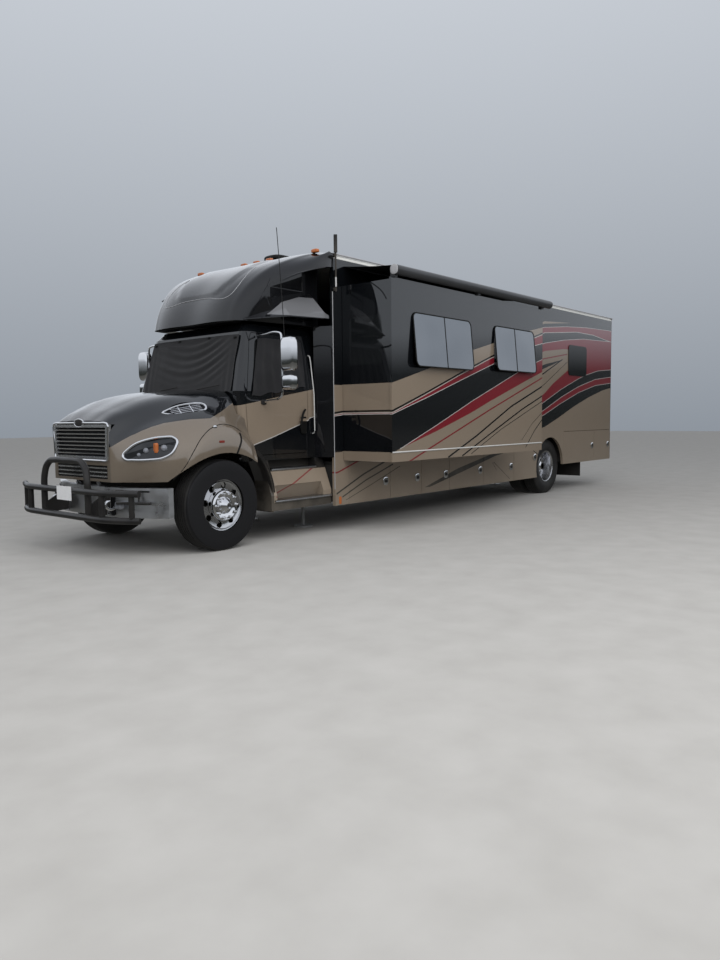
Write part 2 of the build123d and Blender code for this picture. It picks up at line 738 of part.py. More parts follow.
# stations of the brow over each cab door: x, outer y, bottom, outer lip and inner top heights, inner y
brow_sections = ((-620, 925, 2676, 2684, 2700, 850), (-1135, 1150, 2738, 2757, 2951, 980),
                 (-1640, 1266, 2745, 2812, 3100, 985), (-1712, 1266, 2745, 2790, 2900, 985))
with BuildPart() as nose_cap:
    add(cap_volume(0))
    for side in (1, -1):
        add(side_prism(recess_outline, side, 0, 1400, recess_y), mode=Mode.SUBTRACT)
    add(cap_hollow.part, mode=Mode.SUBTRACT)
    for side in (1, -1):
        with BuildPart(mode=Mode.PRIVATE) as brow:
            for x, outer_y, bottom, lip, top, inner_y in brow_sections:
                with BuildSketch(Plane.YZ.offset(x)):
                    with BuildLine():
                        Polyline((side * inner_y, bottom - 4), (side * outer_y, bottom), (side * outer_y, lip),
                                 (side * inner_y, top), close=True)
                    make_face()
            loft(ruled=True)
        add(brow.part)
    with Locations((-1300, 0, 2690)):
        Box(720, 1500, 80, mode=Mode.SUBTRACT)
    for side in (1, -1):
        with BuildSketch(Plane.XY.offset(980)):
            with BuildLine():
                Polyline((cab_rear + 60, side * (cab_half + 0.3)), (cab_rear + 48, side * (cab_half + 30)),
                         (house_front + 0.3, side * (house_half - 4)), (house_front + 0.3, side * (cab_half + 0.3)),
                         close=True)
            make_face()
        extrude(amount=2669 - 980)
save(nose_cap, "nose_cap")

# Living box: floor with the two rows of lockers under it
locker_inner = 640
entry_front = -2330
entry_rear = -3060
entry_bottom = 470
entry_top = 2760
locker_bottom = skirt_bottom + 45
left_doors = ((-2060, -2950), (-2950, -3710), (-3710, -4460), (-4460, -5480), (-5480, -6520),
              (-6520, arch_front + 20), (arch_rear, -9965), (-9965, -10790))
right_doors = ((-3710, -5480), (-5480, arch_front + 20), (arch_rear, -10790))
rear_door_top = 1180
slide_sill = 22
door_thickness = 36
with BuildPart() as house_floor:
    floor_front = house_front - 65
    floor_rear = house_rear + 72
    with Locations(((floor_front + floor_rear) / 2, 0, floor_top - floor_thickness / 2)):
        Box(floor_front - floor_rear, 2 * (house_half - wall_thickness) - 6, floor_thickness)
    for side in (1, -1):
        for rear, front in ((arch_front, house_front - 25), (house_rear + 130, arch_rear - 20)):
            low = locker_bottom if front > arch_front else rear_skirt_bottom + 45
            with Locations(((front + rear) / 2, side * (locker_inner + house_half - wall_thickness) / 2, low + 8)):
                Box(front - rear, house_half - wall_thickness - locker_inner, 16)
            with Locations(((front + rear) / 2, side * (locker_inner + 8), (low + floor_top - floor_thickness) / 2 + 4)):
                Box(front - rear, 16, floor_top - floor_thickness - low + 8)
        for wall_x in (house_front - 33, -2950, -3710, -4460, -5480, -6520, arch_front + 8, arch_rear - 28, -9965,
                       house_rear + 138):
            low = locker_bottom if wall_x > rear_arch_x else rear_skirt_bottom + 45
            with Locations((wall_x, side * (locker_inner + house_half - wall_thickness) / 2,
                            (low + floor_top - floor_thickness) / 2 + 4)):
                Box(16, house_half - wall_thickness - locker_inner, floor_top - floor_thickness - low + 8)
    well_inner = rear_outer_tyre_y - dual_spacing - tyre_width / 2 - 25
    well_top = tyre_radius + rear_arch_radius + 22
    well_y = (well_inner + house_half - wall_thickness) / 2
    well_width = house_half - wall_thickness - well_inner
    for side in (1, -1):
        with Locations((rear_arch_x, side * well_y, (floor_top + well_top) / 2)):
            Box(2 * rear_arch_radius + 40, well_width - 6, well_top - floor_top + 40)
        with Locations((rear_arch_x, side * (well_y + 14), (well_top - 12) / 2)):
            Box(2 * rear_arch_radius + 16, well_width, well_top - 12, mode=Mode.SUBTRACT)
    with Locations(((entry_front + entry_rear) / 2, -(house_half + 740) / 2, 650)):
        Box(entry_front - entry_rear + 20, house_half - 740, 540, mode=Mode.SUBTRACT)
    outer_y = -(house_half - wall_thickness) + 8
    entry_back = -736
    with BuildSketch(Plane.YZ.offset(entry_rear + 4)):
        with BuildLine():
            Polyline((outer_y, 540), (outer_y + 230, 540), (outer_y + 230, 720), (entry_back, 720),
                     (entry_back, 862), (entry_back - 12, 862), (entry_back - 12, 732), (outer_y + 218, 732),
                     (outer_y + 218, 552), (outer_y, 552), close=True)
        make_face()
    extrude(amount=entry_front - entry_rear - 8)
save(house_floor, "house_floor")

# Side walls with their door, window, slide-out and wheel openings
left_windows = ((-9510, -8670, 2280, 2880),)
right_windows = ((-9510, -8670, 2280, 2880), (-7400, -6300, 2130, 2820), (-5600, -4400, 2130, 2820))
wall_top = roof_edge - roof_thickness
for side in (1, -1):
    doors = left_doors if side > 0 else right_doors
    windows = left_windows if side > 0 else right_windows
    with BuildPart() as wall:
        with BuildSketch(Plane.XZ.offset(-side * (house_half - wall_thickness))):
            with BuildLine():
                Polyline((house_front, skirt_bottom), (arch_front - 40, skirt_bottom), (arch_front - 40, rear_skirt_bottom),
                         (house_rear + 70, rear_skirt_bottom), (house_rear + 70, wall_top), (house_front, wall_top),
                         close=True)
            make_face()
            for rear, front, low, high in windows:
                with Locations(((front + rear) / 2, (low + high) / 2)):
                    RectangleRounded(front - rear - 40, high - low - 40, 60, mode=Mode.SUBTRACT)
            for front, rear in doors:
                under_slide = front > slide_rear
                top = slide_bottom - slide_sill if under_slide and side > 0 else rear_door_top
                low = skirt_bottom if front > arch_front else rear_skirt_bottom
                with Locations(((front + rear) / 2, (low - 5 + top) / 2)):
                    Rectangle(front - rear, top - low + 5, mode=Mode.SUBTRACT)
            with Locations((rear_arch_x, tyre_radius)):
                Circle(rear_arch_radius, mode=Mode.SUBTRACT)
            if side > 0:
                with Locations(((slide_front + slide_rear) / 2, (slide_bottom + slide_top) / 2 - 4)):
                    Rectangle(slide_front - slide_rear - 2 * slide_flange + 12, slide_top - slide_bottom - slide_flange + 12,
                              mode=Mode.SUBTRACT)
            else:
                with Locations(((entry_front + entry_rear) / 2, (entry_bottom + entry_top) / 2)):
                    Rectangle(entry_front - entry_rear, entry_top - entry_bottom, mode=Mode.SUBTRACT)
        extrude(amount=-side * wall_thickness)
    save(wall, f"wall_{side_name(side)}")

# Baggage doors, hinged along their front edges, with round latches
latch_radius = 38
for side in (1, -1):
    doors = left_doors if side > 0 else right_doors
    for number, (front, rear) in enumerate(doors, start=1):
        under_slide = front > slide_rear
        top = slide_bottom - slide_sill - panel_gap if under_slide and side > 0 else rear_door_top - panel_gap
        low = skirt_bottom if front > arch_front else rear_skirt_bottom
        with BuildPart() as baggage_door:
            with BuildSketch(Plane.XZ.offset(-side * (house_half - door_thickness))):
                with BuildLine():
                    gap = panel_gap / 2
                    Polyline((front - gap, low), (rear + gap, low), (rear + gap, top), (front - gap, top), close=True)
                make_face()
                with Locations((rear_arch_x, tyre_radius)):
                    Circle(rear_arch_radius + 12, mode=Mode.SUBTRACT)
            extrude(amount=-side * door_thickness)
            latch_z = low + (0.5 if rear < arch_front else 0.46) * (top - low)
            with BuildSketch(Plane.XZ.offset(-side * (house_half - 2))):
                with Locations((rear + 110 if rear > arch_front or rear < -9000 else (front + rear) / 2, latch_z)):
                    Circle(latch_radius)
            extrude(amount=-side * 11)
            pin_top = top + panel_gap - 0.3
            with Locations((front - gap, side * house_half, (top - 60 + pin_top) / 2)):
                Cylinder(3.2, pin_top - top + 60)
        save(baggage_door, f"baggage_door_{side_name(side)}_{number}")

# Entry door on the kerb side
with BuildPart() as entry_door:
    with BuildSketch(Plane.XZ.offset(house_half - 42)):
        with Locations(((entry_front + entry_rear) / 2, (entry_bottom + entry_top) / 2)):
            Rectangle(entry_front - entry_rear - 2 * panel_gap, entry_top - entry_bottom - 2 * panel_gap)
        with Locations(((entry_front + entry_rear) / 2, 2180)):
            RectangleRounded(420, 620, 50, mode=Mode.SUBTRACT)
    extrude(amount=42)
    with Locations(((entry_front + entry_rear) / 2, -house_half + 21, 2180)):
        Box(430, 8, 630)
    with Locations((entry_rear + 90, -house_half - 20, 1560)):
        Box(40, 42, 220)
    for hinge_z in (700, 1600, 2560):
        with Locations((entry_front - 3.7, -house_half, hinge_z)):
            Cylinder(3.4, 100)
        with Locations((entry_front - 7.7, -house_half + 2, hinge_z)):
            Box(8, 4, 100)
save(entry_door, "entry_door")

# Roof: a crowned slab with rounded edges
with BuildPart() as roof:
    with BuildSketch(Plane.YZ.offset(house_rear + 75)):
        with BuildLine():
            Line((-house_half, wall_top + 0.3), (house_half, wall_top + 0.3))
            RadiusArc((house_half, wall_top + 0.3), (house_half - 58, roof_edge), -59)
            ThreePointArc((house_half - 58, roof_edge), (0, roof_edge + roof_crown), (-house_half + 58, roof_edge))
            RadiusArc((-house_half + 58, roof_edge), (-house_half, wall_top + 0.3), -59)
        make_face()
    extrude(amount=house_front - house_rear - 77)
save(roof, "roof")

# Rear cap: a shallow moulded pan with rounded upright edges
with BuildPart() as rear_cap:
    with BuildSketch(Plane.XY.offset(rear_skirt_bottom)):
        with BuildLine():
            Polyline((house_rear + 69.7, -house_half), (house_rear + 69.7, house_half))
            Line((house_rear + 69.7, house_half), (house_rear + 60, house_half))
            RadiusArc((house_rear + 60, house_half), (house_rear, house_half - 60), 60)
            Line((house_rear, house_half - 60), (house_rear, -house_half + 60))
            RadiusArc((house_rear, -house_half + 60), (house_rear + 60, -house_half), 60)
            Line((house_rear + 60, -house_half), (house_rear + 69.7, -house_half))
        make_face()
    extrude(amount=roof_edge + 10 - rear_skirt_bottom)
save(rear_cap, "rear_cap")

# Windows of the box: dark glass panes bedded in a rubber frame
with BuildPart() as house_windows:
    for side in (1, -1):
        for rear, front, low, high in left_windows if side > 0 else right_windows:
            with BuildSketch(Plane.XZ.offset(-side * (house_half + 0.3))):
                with Locations(((front + rear) / 2, (low + high) / 2)):
                    RectangleRounded(front - rear, high - low, 80)
            extrude(amount=-side * 12)
save(house_windows, "house_windows")

# Slide-out room: floor, roof, two end walls and the outer wall with its flange
slide_depth_in = 110
slide_windows = ((-3740, -2370, 2130, 2820), (-5610, -4390, 2160, 2820))
with BuildPart() as slide_room:
    box_front = slide_front - slide_flange
    box_rear = slide_rear + slide_flange
    box_top = slide_top - slide_flange
    inner_y = house_half - slide_depth_in
    depth = slide_face_y - inner_y
    with Locations(((box_front + box_rear) / 2, inner_y + depth / 2, (slide_bottom + box_top) / 2)):
        Box(box_front - box_rear, depth, box_top - slide_bottom)
    for runner_x in (-2500, -5400):
        with Locations((runner_x, inner_y + 27, (floor_top + 0.3 + slide_bottom) / 2)):
            Box(80, 54, slide_bottom - floor_top - 0.3)
    with Locations(((slide_front + slide_rear) / 2, slide_face_y - slide_wall / 2, (slide_bottom + slide_top) / 2)):
        Box(slide_front - slide_rear, slide_wall, slide_top - slide_bottom)
    with Locations(((box_front + box_rear) / 2, inner_y + (depth - slide_wall) / 2 - 5,
                    (slide_bottom + box_top) / 2)):
        Box(box_front - box_rear - 2 * slide_wall, depth - slide_wall + 10, box_top - slide_bottom - 2 * slide_wall,
            mode=Mode.SUBTRACT)
    with BuildSketch(Plane.XZ.offset(-slide_face_y + 60)):
        for rear, front, low, high in slide_windows:
            with Locations(((front + rear) / 2, (low + high) / 2)):
                RectangleRounded(front - rear - 40, high - low - 40, 60)
    extrude(amount=-120, mode=Mode.SUBTRACT)
    with BuildSketch(Plane.YZ.offset(slide_front - 80)):
        with Locations((1655, 2470)):
            RectangleRounded(540, 620, 60)
    extrude(amount=120, mode=Mode.SUBTRACT)
save(slide_room, "slide_room")

pane_tilt = 5.5
with BuildPart() as slide_glass:
    for rear, front, low, high in slide_windows:
        pane = Plane(origin=((front + rear) / 2, slide_face_y + 0.3, high), x_dir=(-1, 0, 0),
                     z_dir=(0, math.cos(math.radians(pane_tilt)), math.sin(math.radians(pane_tilt))))
        with BuildSketch(pane):
            with Locations((0, -(high - low) / 2)):
                RectangleRounded(front - rear, high - low, 80)
        extrude(amount=10)
    with BuildSketch(Plane.YZ.offset(slide_front - slide_flange - 14)):
        with Locations((1655, 2470)):
            RectangleRounded(539.4, 619.4, 59.7)
    extrude(amount=10)
save(slide_glass, "slide_glass")

# Slide topper: roller, end brackets and the fabric that runs back to the wall
roller_radius = 62
roller_y = slide_face_y + 40
roller_z = slide_top + 85
topper_rear = slide_rear - 150
with BuildPart() as slide_topper:
    with BuildSketch(Plane.YZ.offset(topper_rear)):
        with Locations((roller_y, roller_z)):
            Circle(roller_radius)
    extrude(amount=slide_front - 10 - topper_rear)
    for bracket_x in (slide_front - 60, (slide_front + slide_rear) / 2, slide_rear + 60):
        with Locations((bracket_x, slide_face_y - 2, slide_top + 21.3)):
            Box(60, 66, 42)
save(slide_topper, "slide_topper")

fabric_rail_z = 3440
with BuildPart() as topper_fabric:
    with BuildSketch(Plane.YZ.offset(topper_rear + 60)):
        with BuildLine():
            Polyline((house_half + 0.3, fabric_rail_z), (roller_y - 30, roller_z + roller_radius - 2),
                     (roller_y - 30, roller_z + roller_radius + 2), (house_half + 0.3, fabric_rail_z + 4), close=True)
        make_face()
    extrude(amount=slide_front - 60 - topper_rear - 60)
save(topper_fabric, "topper_fabric")

# Roof fittings: two low air conditioners, a roof vent with its lid ajar and the corner antenna
roof_top = roof_edge + roof_crown
antenna_x = house_front - 30
with BuildPart() as roof_fittings:
    for unit_x in (-4700, -8450):
        with BuildSketch(Plane.XY.offset(roof_top)):
            with Locations((unit_x, 0)):
                RectangleRounded(1000, 680, 90)
        extrude(amount=250, taper=9)
    with Locations((-2090, 0, roof_top + 23.1)):
        Box(420, 420, 46)
    with Locations((-2240, 0, roof_top + 55)):
        Box(30, 300, 60)
    with BuildSketch(Plane(origin=(-2090, 0, roof_top + 70), z_dir=(0.12, 0, 1))):
        Rectangle(440, 430)
    extrude(amount=24)
    with Locations((antenna_x, house_half + 28, 3350)):
        Cylinder(11, 500)
    with Locations((antenna_x, house_half + 28, 3700)):
        Cylinder(24, 220)
    for foot_z in (3130, 3560):
        with Locations((antenna_x, house_half + 14, foot_z)):
            Box(40, 27.4, 40)
save(roof_fittings, "roof_fittings")

# Lamps: five amber clearance lamps on the nose, red ones behind, and the tail lamps
clearance_places = ((-1675, 0), (-1675, 256), (-1675, -256))
with BuildPart() as lamps:
    for lamp_x, lamp_y in clearance_places:
        with Locations((lamp_x, lamp_y, 3592.3)):
            Box(40, 110, 34)
    for side in (1, -1):
        with Locations((house_rear - 11, side * 1080, 1020)):
            Box(22, 190, 420)
        with Locations((house_rear - 11, side * 1120, 3480)):
            Box(22, 110, 40)
save(lamps, "lamps")

# Patio awning on the kerb side, rolled up in its case
with BuildPart() as awning_case:
    with BuildSketch(Plane.YZ.offset(-7400)):
        with Locations((-house_half - 64.3, 3420)):
            RectangleRounded(128, 150, 50)
    extrude(amount=4200)
save(awning_case, "awning_case")

# Grille with its blank oval boss, the lower intake and the two side vents, all in the hood
bar_count = 7
with BuildPart() as grille:
    with BuildSketch(Plane.YZ.offset(hood_front - 30)):
        with BuildLine():
            Polyline((-544.7, 1060.3), (544.7, 1060.3), (567.7, 1444.7), (-567.7, 1444.7), close=True)
        make_face()
        with BuildLine():
            Polyline((-508, 1096), (508, 1096), (528, 1412), (-528, 1412), close=True)
        make_face(mode=Mode.SUBTRACT)
    extrude(amount=44)
    for bar in range(bar_count):
        bar_z = 1128 + bar * 43
        with BuildSketch(Plane.XZ.offset(-512 - bar * 2.6)):
            with BuildLine():
                Polyline((hood_front - 22, bar_z - 4), (hood_front + 2, bar_z - 9), (hood_front + 4, bar_z + 3),
                         (hood_front - 18, bar_z + 9), close=True)
            make_face()
        extrude(amount=1024 + bar * 5.2)
    with BuildSketch(Plane.YZ.offset(hood_front + 0.3)):
        with Locations((0, 1462)):
            Ellipse(92, 40)
    extrude(amount=16)
    with BuildSketch(Plane.YZ.offset(hood_front - 22)):
        with Locations((0, 926)):
            Rectangle(1059.4, 147.4)
    extrude(amount=16)
    for bar in range(3):
        with Locations((hood_front - 2, 0, 880 + bar * 45)):
            Box(14, 1040, 14)
    for side in (1, -1):
        frame_face = vent_plane(side) * vent_outline(0.3)
        extrude(frame_face, amount=8)
        extrude(frame_face, amount=-16)
        mouth = vent_plane(side) * vent_outline(20)
        extrude(mouth, amount=20, mode=Mode.SUBTRACT)
        extrude(mouth, amount=-9, mode=Mode.SUBTRACT)
        for slat_y in (-42, -14, 14, 42):
            with Locations(vent_plane(side)):
                with Locations((-20, slat_y, -4)):
                    Box(360, 6, 14)
        for post_x in (-80, 60):
            with Locations(vent_plane(side)):
                with Locations((post_x, 0, -2)):
                    Box(9, 150, 14)
save(grille, "grille")

with BuildPart() as headlights:
    add(hood_volume(-4))
    add(hood_volume(30), mode=Mode.SUBTRACT)
    add(lamp_prism(0.3), mode=Mode.INTERSECT)
save(headlights, "headlights")
print("origin shift", mid_x, mid_y)
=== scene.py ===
import math

import bmesh
import bpy
import numpy as np
from mathutils import Matrix, Vector


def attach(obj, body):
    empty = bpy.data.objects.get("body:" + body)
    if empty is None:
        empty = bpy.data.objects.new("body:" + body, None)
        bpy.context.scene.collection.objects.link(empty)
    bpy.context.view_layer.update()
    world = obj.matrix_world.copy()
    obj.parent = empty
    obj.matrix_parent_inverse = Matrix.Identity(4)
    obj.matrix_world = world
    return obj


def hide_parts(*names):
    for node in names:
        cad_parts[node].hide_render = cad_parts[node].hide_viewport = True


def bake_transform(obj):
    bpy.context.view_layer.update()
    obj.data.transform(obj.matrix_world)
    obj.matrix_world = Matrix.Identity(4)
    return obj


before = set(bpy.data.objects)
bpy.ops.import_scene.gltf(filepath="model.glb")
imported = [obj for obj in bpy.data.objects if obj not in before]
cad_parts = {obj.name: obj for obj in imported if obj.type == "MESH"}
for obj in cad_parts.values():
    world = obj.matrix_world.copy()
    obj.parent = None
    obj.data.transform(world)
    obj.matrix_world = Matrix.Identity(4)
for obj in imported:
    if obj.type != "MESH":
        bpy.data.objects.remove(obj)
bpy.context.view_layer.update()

# Camera, light and floor: the camera stands off the front left corner, a little above bumper height. The
# light is an overcast sky with one wide soft panel, and mirroring surfaces see a pale sky over a dark horizon
# instead. Lengths are from the front axle, the chassis middle and the ground.
axle_x = 4.7575
middle_y = -0.325


def place(x, y, z):
    """A point of the vehicle (front axle, chassis middle, ground) moved into the shared frame."""
    return Vector((x + axle_x, y + middle_y, z))


yaw = math.radians(220.33)
pitch = math.radians(4.69)
roll = math.radians(-0.61)
forward = Vector((math.cos(yaw) * math.cos(pitch), math.sin(yaw) * math.cos(pitch), -math.sin(pitch)))
level_right = Vector((math.sin(yaw), -math.cos(yaw), 0))
level_up = level_right.cross(forward)
right = level_right * math.cos(roll) + level_up * math.sin(roll)
up = -level_right * math.sin(roll) + level_up * math.cos(roll)
camera_data = bpy.data.cameras.new("camera")
camera_data.lens = 28.44
camera_data.sensor_width = 36
camera_data.clip_end = 400
camera = bpy.data.objects.new("camera", camera_data)
camera_turn = Matrix((right, up, -forward)).transposed().to_4x4()
camera.matrix_world = Matrix.Translation(place(5.515, 7.893, 1.488)) @ camera_turn
bpy.context.scene.collection.objects.link(camera)
bpy.context.scene.camera = camera
bpy.context.scene.view_settings.view_transform = "Standard"


def add_node(tree, kind, *sources, **settings):
    """A shader node of that kind, with its inputs fed in order from numbers, colours or other sockets."""
    made = tree.nodes.new(kind)
    for key, value in settings.items():
        setattr(made, key, value)
    for socket, source in zip(made.inputs, sources):
        if source is None:
            continue
        if isinstance(source, bpy.types.NodeSocket):
            tree.links.new(source, socket)
        else:
            socket.default_value = source
    return made


def math_node(tree, kind, first, second=None):
    """One sum, product or test worked out from two sockets or numbers."""
    return add_node(tree, "ShaderNodeMath", first, second, operation=kind).outputs[0]


def two_tone(tree, mask, low_colour, high_colour):
    """One colour where the mask is nought and the other where it is one."""
    made = add_node(tree, "ShaderNodeMix", mask, data_type="RGBA")
    for socket, value in ((made.inputs[6], low_colour), (made.inputs[7], high_colour)):
        if isinstance(value, bpy.types.NodeSocket):
            tree.links.new(value, socket)
        else:
            socket.default_value = (*value, 1)
    return made.outputs[2]


world = bpy.data.worlds.new("overcast")
bpy.context.scene.world = world
world.use_nodes = True
sky = world.node_tree
sky.nodes.clear()
ray = add_node(sky, "ShaderNodeLightPath").outputs
seen = math_node(sky, "MAXIMUM", ray["Is Camera Ray"], ray["Is Glossy Ray"])
seen = math_node(sky, "MAXIMUM", seen, ray["Is Transmission Ray"])
dome = add_node(sky, "ShaderNodeBackground", (0.93, 0.96, 1.0, 1), 0.62)
aim = add_node(sky, "ShaderNodeTexCoord").outputs["Generated"]
aim_height = add_node(sky, "ShaderNodeSeparateXYZ", aim).outputs[2]
climb = add_node(sky, "ShaderNodeMapRange", aim_height, -0.02, 0.85, 0.0, 1.0).outputs[0]
plain_sky = two_tone(sky, climb, (0.27, 0.30, 0.34), (0.80, 0.84, 0.90))
ramp_place = add_node(sky, "ShaderNodeMapRange", aim_height, -1.0, 1.0, 0.0, 1.0).outputs[0]
mirrored_sky = add_node(sky, "ShaderNodeValToRGB", ramp_place)
tones = mirrored_sky.color_ramp.elements
tones[0].color = (0.20, 0.20, 0.19, 1)
tones[1].color = (0.62, 0.66, 0.74, 1)
for height_share, colour in ((0.485, (0.085, 0.085, 0.08, 1)), (0.497, (0.025, 0.028, 0.025, 1)),
                             (0.528, (0.04, 0.045, 0.045, 1)), (0.553, (0.72, 0.77, 0.84, 1)),
                             (0.75, (0.84, 0.88, 0.95, 1))):
    tones.new(height_share).color = colour
sky_colour = two_tone(sky, ray["Is Glossy Ray"], plain_sky, mirrored_sky.outputs[0])
backdrop = add_node(sky, "ShaderNodeBackground", sky_colour, 1.0)
blended = add_node(sky, "ShaderNodeMixShader", seen, dome.outputs[0], backdrop.outputs[0])
add_node(sky, "ShaderNodeOutputWorld", blended.outputs[0])

panel_data = bpy.data.lights.new("sky_panel", "AREA")
panel_data.shape = "RECTANGLE"
panel_data.size = 16
panel_data.size_y = 12
panel_data.energy = 1500
panel = bpy.data.objects.new("sky_panel", panel_data)
panel.visible_glossy = False
panel_turn = Vector((6, 8, 9)).to_track_quat("Z", "Y").to_matrix().to_4x4()
panel.matrix_world = Matrix.Translation((7, 8, 9)) @ panel_turn
bpy.context.scene.collection.objects.link(panel)


def make_material(name, colour, roughness, metallic=0.0, coat=0.0, coat_roughness=0.03, specular=0.18,
                  coat_ior=1.5):
    """A named finish: the shader with its plain numbers set on its own sockets."""
    made = bpy.data.materials.new(name)
    made.use_nodes = True
    shader = made.node_tree.nodes["Principled BSDF"]
    shader.inputs["Base Color"].default_value = (*colour, 1)
    shader.inputs["Roughness"].default_value = roughness
    shader.inputs["Metallic"].default_value = metallic
    shader.inputs["Coat Weight"].default_value = coat
    shader.inputs["Coat Roughness"].default_value = coat_roughness
    shader.inputs["Coat IOR"].default_value = coat_ior
    shader.inputs["Specular IOR Level"].default_value = specular
    return made


def feed(made, socket, source):
    """Link a source to one input of a finish."""
    made.node_tree.links.new(source, made.node_tree.nodes["Principled BSDF"].inputs[socket])


def object_point(tree):
    """Object coordinates as a vector socket."""
    return add_node(tree, "ShaderNodeTexCoord").outputs["Object"]


def mottle(made, low, high, scale=6.0, detail=4.0, socket="Base Color"):
    """Break up one input of a finish between two values with soft noise of the given scale."""
    tree = made.node_tree
    noise = add_node(tree, "ShaderNodeTexNoise", object_point(tree), None, scale, detail).outputs[0]
    if socket == "Base Color":
        feed(made, socket, two_tone(tree, noise, low, high))
    else:
        feed(made, socket, add_node(tree, "ShaderNodeMapRange", noise, 0.3, 0.7, low, high).outputs[0])
    return made


def raise_bumps(made, height, strength, distance):
    """Raise the surface of a finish by a height from nought to one, times a distance in metres."""
    bump = add_node(made.node_tree, "ShaderNodeBump", strength, distance, None, None)
    made.node_tree.links.new(height, bump.inputs["Height"])
    feed(made, "Normal", bump.outputs[0])


def grain(made, scale, strength, distance=0.001):
    """Fine bumps over a finish, such as cast or moulded grain."""
    tree = made.node_tree
    noise = add_node(tree, "ShaderNodeTexNoise", object_point(tree), None, scale, 3.0).outputs[0]
    raise_bumps(made, noise, strength, distance)
    return made


floor_mesh = bpy.data.meshes.new("floor")
floor_mesh.from_pydata([(-60, -60, 0), (60, -60, 0), (60, 60, 0), (-60, 60, 0)], [], [(0, 1, 2, 3)])
floor = bpy.data.objects.new("floor", floor_mesh)
bpy.context.scene.collection.objects.link(floor)
pale_ground = make_material("pale_ground", (0.36, 0.35, 0.335), 0.9)
floor_mesh.materials.append(mottle(pale_ground, (0.335, 0.325, 0.31), (0.43, 0.42, 0.405), 3.0))
floor.visible_glossy = False

# Livery of the living box: fibreglass walls, locker doors and slide-out room sprayed in tan, black and dark
# red bands with thin silver lines between them, all under one clear coat. The same bands run over both sides.
# A band lies between two edges, and an edge is a line of points (distance along, height).
tan_colour = (0.200, 0.160, 0.121)
black_colour = (0.0030, 0.0036, 0.0046)
red_colour = (0.150, 0.008, 0.015)
silver_colour = (0.40, 0.385, 0.37)
livery_rear = -10.95
livery_front = -1.40
livery_height = 4.0


def shaded_spot(tree):
    """The shaded spot's place as three sockets: along, across and up."""
    return add_node(tree, "ShaderNodeSeparateXYZ", object_point(tree)).outputs


def where_all(tree, *masks):
    """One where every mask is one: the product of them all."""
    joined = masks[0]
    for mask in masks[1:]:
        joined = math_node(tree, "MULTIPLY", joined, mask)
    return joined


def drawn_line(tree, along, points, low_x, high_x, tall):
    """Height, over a largest height, of a line of (x, height) points: straight runs from one to the next."""
    curve = add_node(tree, "ShaderNodeFloatCurve", 1.0, along)
    line = curve.mapping.curves[0]
    ordered = sorted(points)
    while len(line.points) < len(ordered):
        line.points.new(0.5, 0.5)
    for spot, (x, z) in zip(line.points, ordered):
        spot.location = ((x - low_x) / (high_x - low_x), z / tall)
        spot.handle_type = "VECTOR"
    curve.mapping.extend = "HORIZONTAL"
    curve.mapping.update()
    return curve.outputs[0]


tan_top = [(-1.40, 1.86), (-1.583, 1.892), (-1.768, 1.915), (-1.941, 1.915), (-2.767, 2.132), (-3.776, 2.418),
           (-4.279, 2.537), (-5.52, 2.836), (-6.025, 2.936), (-7.665, 3.245), (-8.808, 3.311), (-10.95, 3.32)]
red_one_top = [(-1.40, 1.49), (-1.76, 1.527), (-1.958, 1.549), (-2.693, 1.791), (-3.45, 2.053),
               (-4.281, 2.327), (-5.646, 2.725), (-6.027, 2.826), (-7.667, 3.134), (-8.565, 3.22),
               (-9.465, 3.275), (-10.95, 3.315)]
red_one_low = [(-1.40, 1.48), (-1.937, 1.527), (-2.693, 1.745), (-3.45, 1.977), (-4.296, 2.232),
               (-5.648, 2.605), (-6.049, 2.682), (-7.669, 3.034), (-9.064, 3.153), (-9.829, 3.151),
               (-10.724, 3.076), (-10.95, 3.07)]
tan_low = [(-5.9, 2.80), (-6.027, 2.830), (-7.666, 3.201), (-8.808, 3.311), (-10.95, 3.32)]
black_low = [(-1.40, 1.03), (-1.931, 1.045), (-2.138, 1.103), (-2.984, 1.404), (-3.778, 1.70), (-5.086, 2.15),
             (-5.706, 2.341), (-5.979, 2.414), (-7.673, 2.844), (-8.518, 2.959), (-9.355, 3.037),
             (-10.724, 3.075), (-10.95, 3.07)]
red_two_low = [(-1.40, 1.03), (-1.931, 1.045), (-2.138, 1.103), (-2.984, 1.319), (-3.778, 1.544),
               (-4.30, 1.713), (-5.498, 2.074), (-6.002, 2.219), (-7.676, 2.698), (-8.469, 2.78),
               (-9.20, 2.80), (-9.36, 2.28), (-9.496, 2.312), (-10.103, 2.423), (-10.883, 2.48),
               (-10.95, 2.482)]
sweep_top = [(-6.2, 1.20), (-6.6, 1.45), (-7.667, 1.908), (-8.015, 2.099), (-8.481, 2.30), (-8.668, 2.378),
             (-9.2, 2.62), (-9.36, 2.80), (-10.95, 2.80)]
sweep_red = [(-6.2, 1.20), (-6.6, 1.37), (-7.67, 1.75), (-8.382, 2.003), (-9.149, 2.227), (-9.496, 2.312),
             (-10.103, 2.423), (-10.883, 2.48), (-10.95, 2.482)]
sweep_black = [(-6.2, 1.20), (-6.6, 1.28), (-7.673, 1.602), (-8.386, 1.85), (-9.153, 2.069), (-9.984, 2.241),
               (-10.856, 2.321), (-10.95, 2.325)]
sweep_line = [(-6.2, 1.20), (-6.6, 1.22), (-7.675, 1.511), (-8.388, 1.733), (-9.157, 1.947), (-9.989, 2.114),
              (-10.861, 2.189), (-10.95, 2.193)]
sweep_low = [(-6.2, 1.20), (-6.6, 1.10), (-7.704, 1.283), (-8.237, 1.439), (-8.938, 1.664), (-9.631, 1.855),
             (-10.373, 2.02), (-10.95, 2.10)]
